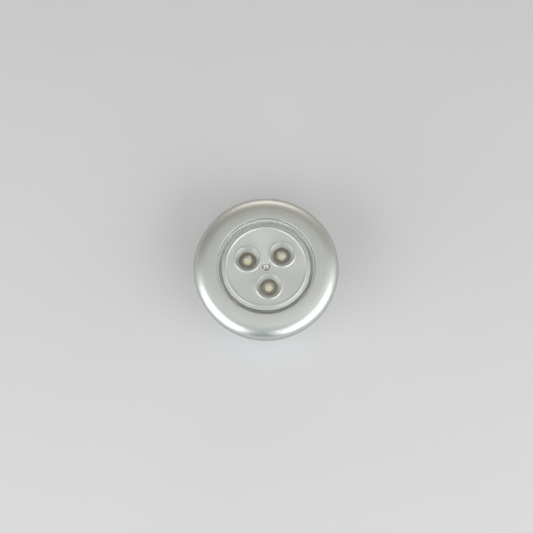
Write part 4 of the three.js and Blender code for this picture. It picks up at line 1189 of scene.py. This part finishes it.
def screw(name, head, head_high, shank, length):
    """A pan head screw that points along Z, with threads and a cross recess, seated at zero."""
    pitch, shallow, point = 0.45 * shank, 0.82 * shank, 0.8 * shank
    threads, height = [], 0.0
    while height + pitch < length - point:
        threads += [(shallow, height + pitch * 0.15), (shank, height + pitch * 0.5),
                    (shallow, height + pitch * 0.85)]
        height += pitch
    body = turned(name, [
        (0.0, -head_high), *arc(0, -head_high * 0.45, head, head_high * 0.55, -QUARTER, 0, steps=10)[1:],
        (head, -BEVEL), (head - BEVEL, 0.0), (shallow, 0.0), *threads,
        (shallow, length - shank * 0.7), (shank * 0.25, length), (0.0, length)
    ], SMALL_STEPS)
    wide, deep, reach = 0.16 * head, 0.55 * head_high, 0.62 * head
    slot = slab("slot", (-reach, -wide, -head_high - MM), (reach, wide, deep - head_high))
    return carved(body, *repeated(slot, fanned((0, QUARTER))))


def build_screws():
    """Housing screws, driven from behind, and the board's screws."""
    h, p = settings().housing, settings().power
    fixing = screw("housing_fixing", 2.0 * MM, 1.3 * MM, 1.1 * MM, SCREW_LENGTH)
    dealt([((*spot, h.screw_seat), (0, 0, math.radians(20 * number)))
           for number, spot in enumerate(screw_spots(), 1)],
          (fixing, screw_steel(), "screw_steel", "housing_screw", True))
    fixing = screw("board_fixing", 1.8 * MM, 1.2 * MM, 0.95 * MM, 2.5 * MM)
    dealt([((*around(p.board_screws, a), p.board_top), (2 * QUARTER, 0, math.radians(35 * number)))
           for number, a in enumerate(gap_directions(), 1)],
          (fixing, screw_steel(), "screw_steel", "board_screw", True))


def cell_outline(p):
    """Outline of a slim cell that stands on its flat end."""
    r, top = p.cell, p.cell_length - 0.9 * MM
    return softened([
        (0.0, 0.0), (3.9 * MM, 0.0), (4.1 * MM, 0.3 * MM), (4.35 * MM, 0.3 * MM), (4.5 * MM, 0.1 * MM),
        (r - 0.35 * MM, 0.1 * MM), (r, 0.5 * MM), (r, top - 0.6 * MM), (r - 0.4 * MM, top - 0.05 * MM),
        (3.6 * MM, top), (3.4 * MM, top - 0.25 * MM), (2.3 * MM, top - 0.25 * MM), (1.9 * MM, top),
        (1.9 * MM, p.cell_length), (0.0, p.cell_length)
    ], 0.18 * MM)


def build_cells():
    """Three slim cells with a plain generic sleeve, side by side with their ends turned about."""
    p = settings().power
    pattern = turned("cell", cell_outline(p), CELL_STEPS)
    steel_low, steel_high = 0.2 * MM, p.cell_length - 1.1 * MM
    tone, dark, long, thin = (0.80, 0.80, 0.78), (0.05, 0.05, 0.05), 1.3 * MM, 0.3 * MM
    band, sign = p.cell_length - 9.5 * MM, p.cell_length - 5.2 * MM
    bands = [(-0.3 * MM, 1.0 * MM, (0.30, 0.31, 0.32)), (band, p.cell_length, tuple(p.band)),
             (band - 0.6 * MM, band, tone)]
    marks = [(sign, long, thin, dark), (sign, thin, long, dark), (4.6 * MM, thin, long, tone)]

    def of_steel(face):
        far = face.center.xy.length
        return int((face.center.z < steel_low and far < 4.3 * MM)
                   or (face.center.z > steel_high and far < 3.5 * MM))

    for number, way in enumerate((1, -1, 1), 1):
        cell = copied(pattern, f"slim_cell_{number}")
        foot = (way * (p.cell_tip - p.cell_length), (number - 2) * p.pitch, p.cell_axis)
        sleeve = banded(f"Cell sleeve {number}", tuple(p.sleeve), bands, foot,
                        0.0 if way > 0 else TURN / 2, roughness=0.3, metallic=0.25, marks=marks)
        faced(cell, [sleeve, bright_steel()], of_steel)
        settled(cell, foot, (0, way * QUARTER, 0))
        finished(cell, "housing", None, "cell_sleeve", f"battery_cell_{number}")
    bpy.data.objects.remove(pattern, do_unlink=True)


def build_contacts():
    """Conical contact springs, and the sheet steel plates at both ends of the bay."""
    p, h = settings().power, settings().housing
    wire, wide, narrow = 0.225 * MM, 2.875 * MM, 1.575 * MM
    end = 0.1 * MM + wire
    spring = coil("cell_spring", wide, narrow, end, p.spring - end, 2.75, wire)
    dealt([((way * p.contact, row * p.pitch, p.cell_axis), (0, -way * QUARTER, 0))
           for way, row in ((-1, -1), (1, 0), (-1, 1))],
          (spring, spring_steel(), "spring_steel", "contact_spring", True))
    # name, node, end of the bay, lowest and highest cell, and where a tab and a dimple are
    plates = (("plate_minus", "negative_terminal", -1, p.pitch, p.pitch, p.pitch, None),
              ("plate_link_a", "link_plate_1", 1, 0.0, p.pitch, None, p.pitch),
              ("plate_link_b", "link_plate_2", -1, -p.pitch, 0.0, None, 0.0),
              ("plate_plus", "positive_terminal", 1, -p.pitch, -p.pitch, -p.pitch, -p.pitch))
    edge, side, half, rise = 0.1 * MM, 3 * MM, 1.2 * MM, 1.5 * MM
    for name, node, way, low, high, tab, dimple in plates:
        near, far = sorted((way * p.contact, way * (p.contact + p.sheet)))
        plate = slab(name, (near, low - side, p.cell_axis - PLATE),
                     (far, high + side, p.cell_axis + PLATE), edge)
        if tab is not None:
            joined(plate, slab("tab", (near, tab - half, p.cell_axis),
                               (far, tab + half, h.deck + rise), edge))
        if dimple is not None:
            bump = turned("dimple", softened([
                (0.0, -0.2 * MM), (1.7 * MM, -0.2 * MM), (1.7 * MM, 0.05 * MM), (0.85 * MM, 0.6 * MM),
                (0.0, 0.6 * MM)], 0.25 * MM), MID_STEPS)
            settled(bump, (way * p.contact, dimple, p.cell_axis), (0, -way * QUARTER, 0))
            joined(plate, bump)
        finished(plate, "housing", bright_steel(), "tinned_metal", node)


def lead_spots(r, s):
    """Places of the LED leads on the board."""
    spots = []
    for direction in spread(3, r.first):
        x, y = around(r.circle, direction)
        for way in (-1, 1):
            dx, dy = around(way * s.pitch / 2, direction + QUARTER)
            spots.append((x + dx, y + dy))
    return spots


def pin_spots(w):
    """Places of the switch pins on the board."""
    edge = 0.8 * MM
    reach = (w.side / 2 - edge) * math.sqrt(2)
    return [around(reach, direction) for direction in spread(4, w.turn + QUARTER / 2)]


def build_board():
    """Circuit board with round holes, its solder joints and the resistor."""
    p, r, s, w = settings().power, settings().reflector, settings().led, settings().switch
    board = turned("lamp_board", softened([
        (0.0, p.board_under), (p.board, p.board_under), (p.board, p.board_top), (0.0, p.board_top)
    ], FINE))
    pins, fixings = lead_spots(r, s) + pin_spots(w), gap_directions()
    low, high = p.board_under - MM, p.board_top + MM
    screw_holes = at([around(p.board_screws, a) for a in fixings])
    carved(board, *repeated(bar("hole", BOARD_BORE, low, high), screw_holes),
           *repeated(bar("hole", 0.55 * MM, low, high, 24), at(pins)))
    mask = moulded("Solder mask", tuple(p.mask), roughness=0.38, grain=0.000005, mottle=0.03,
                   wear=0.15, dust=0.04)
    edge = moulded("Board edge", (0.42, 0.36, 0.20), roughness=0.7, grain=0.00001,
                   grain_scale=6000.0, mottle=0.12, mottle_scale=2200.0, wear=0.0, dust=0.0)
    faced(board, [mask, edge], lambda face: int(abs(face.normal.z) < 0.5))
    finished(board, "housing", None, "board_tan", "circuit_board")
    build_solder(p, pins)
    build_resistor(p, fixings[0])


def build_solder(p, spots):
    """Solder cones under the board, round each lead and pin."""
    under = ((0.0, 0.02), (0.95, 0.02), (0.95, -0.03), (0.62, -0.16), (0.42, -0.42), (0.36, -0.6),
             (0.0, -0.66))
    cone = turned("joint", [(radius * MM, p.board_under + height * MM) for radius, height in under], 20)
    cones = repeated(cone, at(spots))
    take(cones[0])
    for cone in cones:
        cone.select_set(True)
    bpy.ops.object.join()
    finished(named("solder_joints"), "housing", solder(), "tinned_metal", crease=60)


def build_resistor(p, direction):
    """Resistor with colour bands, and legs bent down through the board."""
    height, half, cap, waist = p.board_top + 1.2 * MM, 3.0 * MM, 1.1 * MM, 0.9 * MM
    # half of the outline: radius, and distance from an end
    end = ((0.0, 0.0), (0.6 * MM, 0.0), (cap, 0.5 * MM), (cap, 1.4 * MM), (waist, 1.9 * MM))
    body = turned("resistor_coat", softened([
        *[(radius, along - half) for radius, along in end],
        *[(radius, half - along) for radius, along in end[::-1]]], 0.4 * MM, 5), MID_STEPS)
    settled(body, turn=(0, QUARTER, 0))
    drop, legs = p.board_under - 0.45 * MM - height, []
    for way in (-1, 1):
        tip = way * (half + MM)
        path = smooth_path([(way * (half - 0.5 * MM), 0, 0), (way * (half + 0.45 * MM), 0, 0),
                            (tip - way * 0.12 * MM, 0, -0.14 * MM), (tip, 0, -0.6 * MM),
                            (tip, 0, drop)], 8)
        legs.append(tube("leg", path, 0.3 * MM))
    joined(body, *legs)
    x, y = around(5.2 * MM * math.sqrt(0.5) + MM + half, direction)
    colours = ((0.45, 0.09, 0.02), (0.02, 0.02, 0.02), (0.20, 0.07, 0.02), (0.60, 0.45, 0.16))
    wide = 0.22
    bands = [((a - wide) * MM, (a + wide) * MM, tint)
             for a, tint in zip((-2.05, -0.75, 0.15, 1.65), colours)]
    coat = banded("Resistor coat", (0.70, 0.55, 0.33), bands, (x, y, height), direction, 0.35)
    faced(body, [coat, bright_steel()], lambda face: int(abs(face.center.x) > half + LAP))
    settled(body, (x, y, height), (0, 0, direction))
    finished(body, "housing", None, "resistor_body", "resistor")


def build_switch():
    """Latching switch: body with its pins, hollow plunger and return spring."""
    w, p = settings().switch, settings().power
    half, base, roof_under, play = w.side / 2, p.board_top, w.top - w.roof, 0.1 * MM
    body = slab("switch_case", (-half, -half, base), (half, half, w.top), 0.22 * MM)
    settled(body, turn=(0, 0, w.turn))
    pin = 0.2 * MM
    leg = slab("pin", (-pin, -pin, p.board_under - 0.5 * MM), (pin, pin, base + BEVEL))
    joined(body, *repeated(leg, at(pin_spots(w))))
    carved(body, bar("chamber", w.chamber, base + w.floor, roof_under),
           bar("neck", w.neck, roof_under - LAP, w.top + MM))
    case = moulded("Switch case", (0.030, 0.031, 0.033), roughness=0.42, grain=0.00001, mottle=0.1,
                   wear=0.15, dust=0.05)
    faced(body, [case, bright_steel()], lambda face: int(face.center.z < base - LAP / 2))
    finished(body, "housing", None, "switch_black", "switch_body")
    foot_top, inner, roof = roof_under - 0.3 * MM, w.plunger - 0.45 * MM, w.plunger_top - 0.6 * MM
    foot = foot_top - 0.4 * MM
    plunger = turned("push_plunger", softened([
        (0.0, roof), (inner, roof), (inner, foot), (w.foot, foot), (w.foot, foot_top),
        (w.plunger, foot_top), (w.plunger, w.plunger_top), (0.0, w.plunger_top)
    ], 0.14 * MM), 48)
    grey = moulded("Plunger plastic", (0.40, 0.40, 0.39), roughness=0.35, mottle=0.04, wear=0.05,
                   dust=0.03)
    finished(plunger, "plunger", grey, "plunger_grey", "switch_plunger")
    low, high, radius = base + w.floor + play + w.wire, roof - play - w.wire, 0.6 * MM
    spring = coil("return_spring", radius, radius, low, high, 5, w.wire, 24)
    finished(spring, "housing", spring_steel(), "spring_steel", "switch_spring")
    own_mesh(spring)


def build_leads():
    """Insulated leads from the terminal tabs to the board, with their bared and soldered ends."""
    p, h = settings().power, settings().housing
    gap, swing, wide, inset = 0.1 * MM, math.radians(20), 2 * p.lead, 0.965
    low, high = h.deck + gap + p.lead, p.board_top + 2 * gap + p.lead
    tab_x, pad = p.contact - gap - p.lead, p.board_screws - 0.9 * MM
    for name, node, way, tab_y, rgb in (("lead_plus", "wire_red", 1, -p.pitch, (0.42, 0.015, 0.012)),
                                        ("lead_minus", "wire_black", -1, p.pitch, (0.018, 0.018, 0.02))):
        leaving = math.atan2(tab_y, tab_x)
        arriving = leaving + math.copysign(swing, tab_y)
        points = []
        for radius, height, direction in (
                (math.hypot(tab_x, tab_y), low, leaving),
                (p.board + 4 * wide, low, leaving + (arriving - leaving) / 4),
                (p.board + 2 * wide, (low + high) / 2, (leaving + arriving) / 2),
                (p.board + wide / 2, high, arriving), (pad, high, arriving)):
            x, y = around(radius, direction)
            points.append((way * x, y, height))
        lead = tube(f"{name}_sleeve", smooth_path(points, 12), p.lead, 5)
        x, y, _ = points[-1]
        end = Vector((x * inset, y * inset, p.board_top))
        blob = turned("blob", softened([
            (0.0, end.z), (1.0 * MM, end.z), (0.9 * MM, end.z + 0.3 * MM),
            (0.35 * MM, high + 0.2 * MM), (0.0, high + 0.3 * MM)], 0.2 * MM), SMALL_STEPS)
        joined(lead, settled(blob, (end.x, end.y, 0)))

        def of_tin(face, end=end):
            beside = (face.center.xy - end.xy).length < 1.0 * MM + LAP
            return int(beside and face.center.z < high + 0.3 * MM + LAP
                       and (face.center - end).length < 1.1 * MM)

        rubber = moulded(f"Sleeve of {name}", rgb, roughness=0.4, grain=0.000004, mottle=0.08,
                         mottle_scale=700.0, wear=0.0, dust=0.05)
        faced(lead, [rubber, solder()], of_tin)
        finished(lead, "housing", None, node, node)


def aimed(scene, name, data, place, back):
    """A light or camera at a place, which looks away from a direction."""
    thing = bpy.data.objects.new(name, data)
    scene.collection.objects.link(thing)
    thing.location = place
    thing.rotation_mode = "QUATERNION"
    thing.rotation_quaternion = back.to_track_quat("Z", "Y")
    return thing


def build_stage():
    """Floor, soft light and the camera at the photograph's angle."""
    s, scene = settings().stage, bpy.context.scene
    release()
    bpy.ops.mesh.primitive_plane_add(size=6, location=(0, 0, -LAP))
    floor = bpy.context.object
    floor.name = "floor"
    floor.data.materials.append(moulded("Floor", tuple(s.floor), roughness=0.7, grain=0.00002,
                                        grain_scale=800.0, mottle=0.012, mottle_scale=9.0, wear=0.0,
                                        dust=0.0))
    build_world(scene)
    for name, azimuth, elevation, distance, wide, high, power, tint in (
            ("Softbox left", 217, 22, 0.75, 0.84, 0.62, 3.7, (1.0, 1.0, 1.0)),
            ("Softbox right", 318, 26, 0.75, 0.92, 0.52, 3.5, (1.0, 0.997, 0.99))):
        light = bpy.data.lights.new(name, "AREA")
        light.shape, light.size, light.size_y = "RECTANGLE", wide, high
        light.energy, light.color = power, tint
        a, e = math.radians(azimuth), math.radians(elevation)
        away = Vector((math.cos(a) * math.cos(e), math.sin(a) * math.cos(e), math.sin(e)))
        aimed(scene, name, light, away * distance + Vector((0, 0, 0.02)), away)
    back = Vector((0, -math.cos(s.elevation), math.sin(s.elevation)))
    aim = Vector((0.0002, -0.0004, settings().ring.top))
    camera = aimed(scene, "Camera", bpy.data.cameras.new("Camera"), aim + back * s.distance, back)
    sensor = 36.0
    camera.data.sensor_width, camera.data.lens = sensor, sensor * s.distance / s.width
    camera.data.clip_start, camera.data.clip_end = 0.01, 20.0
    scene.camera = camera
    scene.view_settings.view_transform = "Standard"


def build_world(scene):
    """Sky light that is brightest overhead and darkest low down in front."""
    scene.world = world = bpy.data.worlds.new("Studio")
    world.use_nodes = True
    tree = world.node_tree
    tree.nodes.clear()
    way = put(tree, "ShaderNodeSeparateXYZ", in_0=tree.nodes.new("ShaderNodeTexCoord").outputs["Generated"])
    ramp = tree.nodes.new("ShaderNodeValToRGB")
    # how bright the sky is from the front, over the top, to the back
    stops = ((0.0, 0.22), (0.08, 0.28), (0.20, 0.48), (0.34, 0.72), (0.46, 0.95), (0.56, 0.98),
             (0.61, 0.78), (0.66, 0.48), (0.74, 0.36), (0.87, 0.40), (0.94, 0.75), (0.985, 1.5), (1.0, 2.2))
    for position, _ in stops[1:-1]:
        ramp.color_ramp.elements.new(position)
    for element, (position, grey) in zip(ramp.color_ramp.elements, stops):
        warmth = 0.22 * (position - 0.5)
        element.position = position
        element.color = (grey * (1 + warmth), grey, grey * (1 - 0.8 * warmth), 1.0)
    linked(tree, ramp.inputs[0], ranged(tree, way.outputs["Y"], -1.0, 1.0))
    side = ranged(tree, way.outputs["X"], -1.0, 1.0, 0.80, 1.25)
    colour = blended(tree, 1.0, ramp.outputs[0], side, "MULTIPLY")
    sky = put(tree, "ShaderNodeBackground", Color=colour, Strength=1.0)
    tree.links.new(sky.outputs[0], tree.nodes.new("ShaderNodeOutputWorld").inputs["Surface"])


# ---------------------------------------------------------------- operators, panel and registration

class PUCK_OT_ring(bpy.types.Operator):
    """Model the front ring with its screw bosses"""
    bl_idname, bl_label = "puck.ring", "Front ring"

    def execute(self, context):
        build_ring()
        return {"FINISHED"}


class PUCK_OT_lens(bpy.types.Operator):
    """Model the clear push lens"""
    bl_idname, bl_label = "puck.lens", "Push lens"

    def execute(self, context):
        build_lens()
        return {"FINISHED"}


class PUCK_OT_reflector(bpy.types.Operator):
    """Model the reflector plate with its cups"""
    bl_idname, bl_label = "puck.reflector", "Reflector"

    def execute(self, context):
        build_reflector()
        return {"FINISHED"}


class PUCK_OT_leds(bpy.types.Operator):
    """Model the LEDs with their leads, cups and phosphor"""
    bl_idname, bl_label = "puck.leds", "LEDs"

    def execute(self, context):
        build_leds()
        return {"FINISHED"}


class PUCK_OT_housing(bpy.types.Operator):
    """Model the rear housing with its battery bay"""
    bl_idname, bl_label = "puck.housing", "Rear housing"

    def execute(self, context):
        build_housing()
        return {"FINISHED"}


class PUCK_OT_cover(bpy.types.Operator):
    """Model the twist-off cover"""
    bl_idname, bl_label = "puck.cover", "Twist-off cover"

    def execute(self, context):
        build_cover()
        return {"FINISHED"}


class PUCK_OT_pad(bpy.types.Operator):
    """Model the adhesive foam pad with its liner"""
    bl_idname, bl_label = "puck.pad", "Adhesive pad"

    def execute(self, context):
        build_pad()
        return {"FINISHED"}


class PUCK_OT_screws(bpy.types.Operator):
    """Model the screws of the housing and the board"""
    bl_idname, bl_label = "puck.screws", "Screws"

    def execute(self, context):
        build_screws()
        return {"FINISHED"}


class PUCK_OT_cells(bpy.types.Operator):
    """Model the slim cells"""
    bl_idname, bl_label = "puck.cells", "Cells"

    def execute(self, context):
        build_cells()
        return {"FINISHED"}


class PUCK_OT_contacts(bpy.types.Operator):
    """Model the contact springs and plates"""
    bl_idname, bl_label = "puck.contacts", "Contacts"

    def execute(self, context):
        build_contacts()
        return {"FINISHED"}


class PUCK_OT_board(bpy.types.Operator):
    """Model the circuit board, its solder joints and the resistor"""
    bl_idname, bl_label = "puck.board", "Circuit board"

    def execute(self, context):
        build_board()
        return {"FINISHED"}


class PUCK_OT_switch(bpy.types.Operator):
    """Model the switch, its plunger and its return spring"""
    bl_idname, bl_label = "puck.switch", "Switch"

    def execute(self, context):
        build_switch()
        return {"FINISHED"}


class PUCK_OT_leads(bpy.types.Operator):
    """Model the leads from the battery bay to the board"""
    bl_idname, bl_label = "puck.leads", "Leads"

    def execute(self, context):
        build_leads()
        return {"FINISHED"}


class PUCK_OT_stage(bpy.types.Operator):
    """Set up the floor, the light and the camera"""
    bl_idname, bl_label = "puck.stage", "Stage"

    def execute(self, context):
        build_stage()
        return {"FINISHED"}


OPERATORS = (PUCK_OT_stage, PUCK_OT_ring, PUCK_OT_lens, PUCK_OT_reflector, PUCK_OT_leds,
             PUCK_OT_housing, PUCK_OT_cover, PUCK_OT_pad, PUCK_OT_screws, PUCK_OT_cells,
             PUCK_OT_contacts, PUCK_OT_board, PUCK_OT_switch, PUCK_OT_leads)


class PUCK_PT_panel(bpy.types.Panel):
    """Lists the operators in the sidebar"""
    bl_idname = "PUCK_PT_panel"
    bl_label = "Puck light"
    bl_space_type = "VIEW_3D"
    bl_region_type = "UI"
    bl_category = "Puck light"

    def draw(self, context):
        column = self.layout.column(align=True)
        for operator in OPERATORS:
            column.operator(operator.bl_idname)


CLASSES = (RingSettings, LensSettings, ReflectorSettings, LedSettings, HousingSettings,
           CoverSettings, PowerSettings, SwitchSettings, StageSettings, PuckSettings,
           *OPERATORS, PUCK_PT_panel)


def register():
    for each in CLASSES:
        bpy.utils.register_class(each)
    bpy.types.Scene.puck_light = bpy.props.PointerProperty(type=PuckSettings)


def unregister():
    del bpy.types.Scene.puck_light
    for each in reversed(CLASSES):
        bpy.utils.unregister_class(each)


def main():
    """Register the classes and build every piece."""
    register()
    for operator in OPERATORS:
        group, name = operator.bl_idname.split(".")
        getattr(getattr(bpy.ops, group), name)()
    release()


if __name__ == "__main__":
    main()
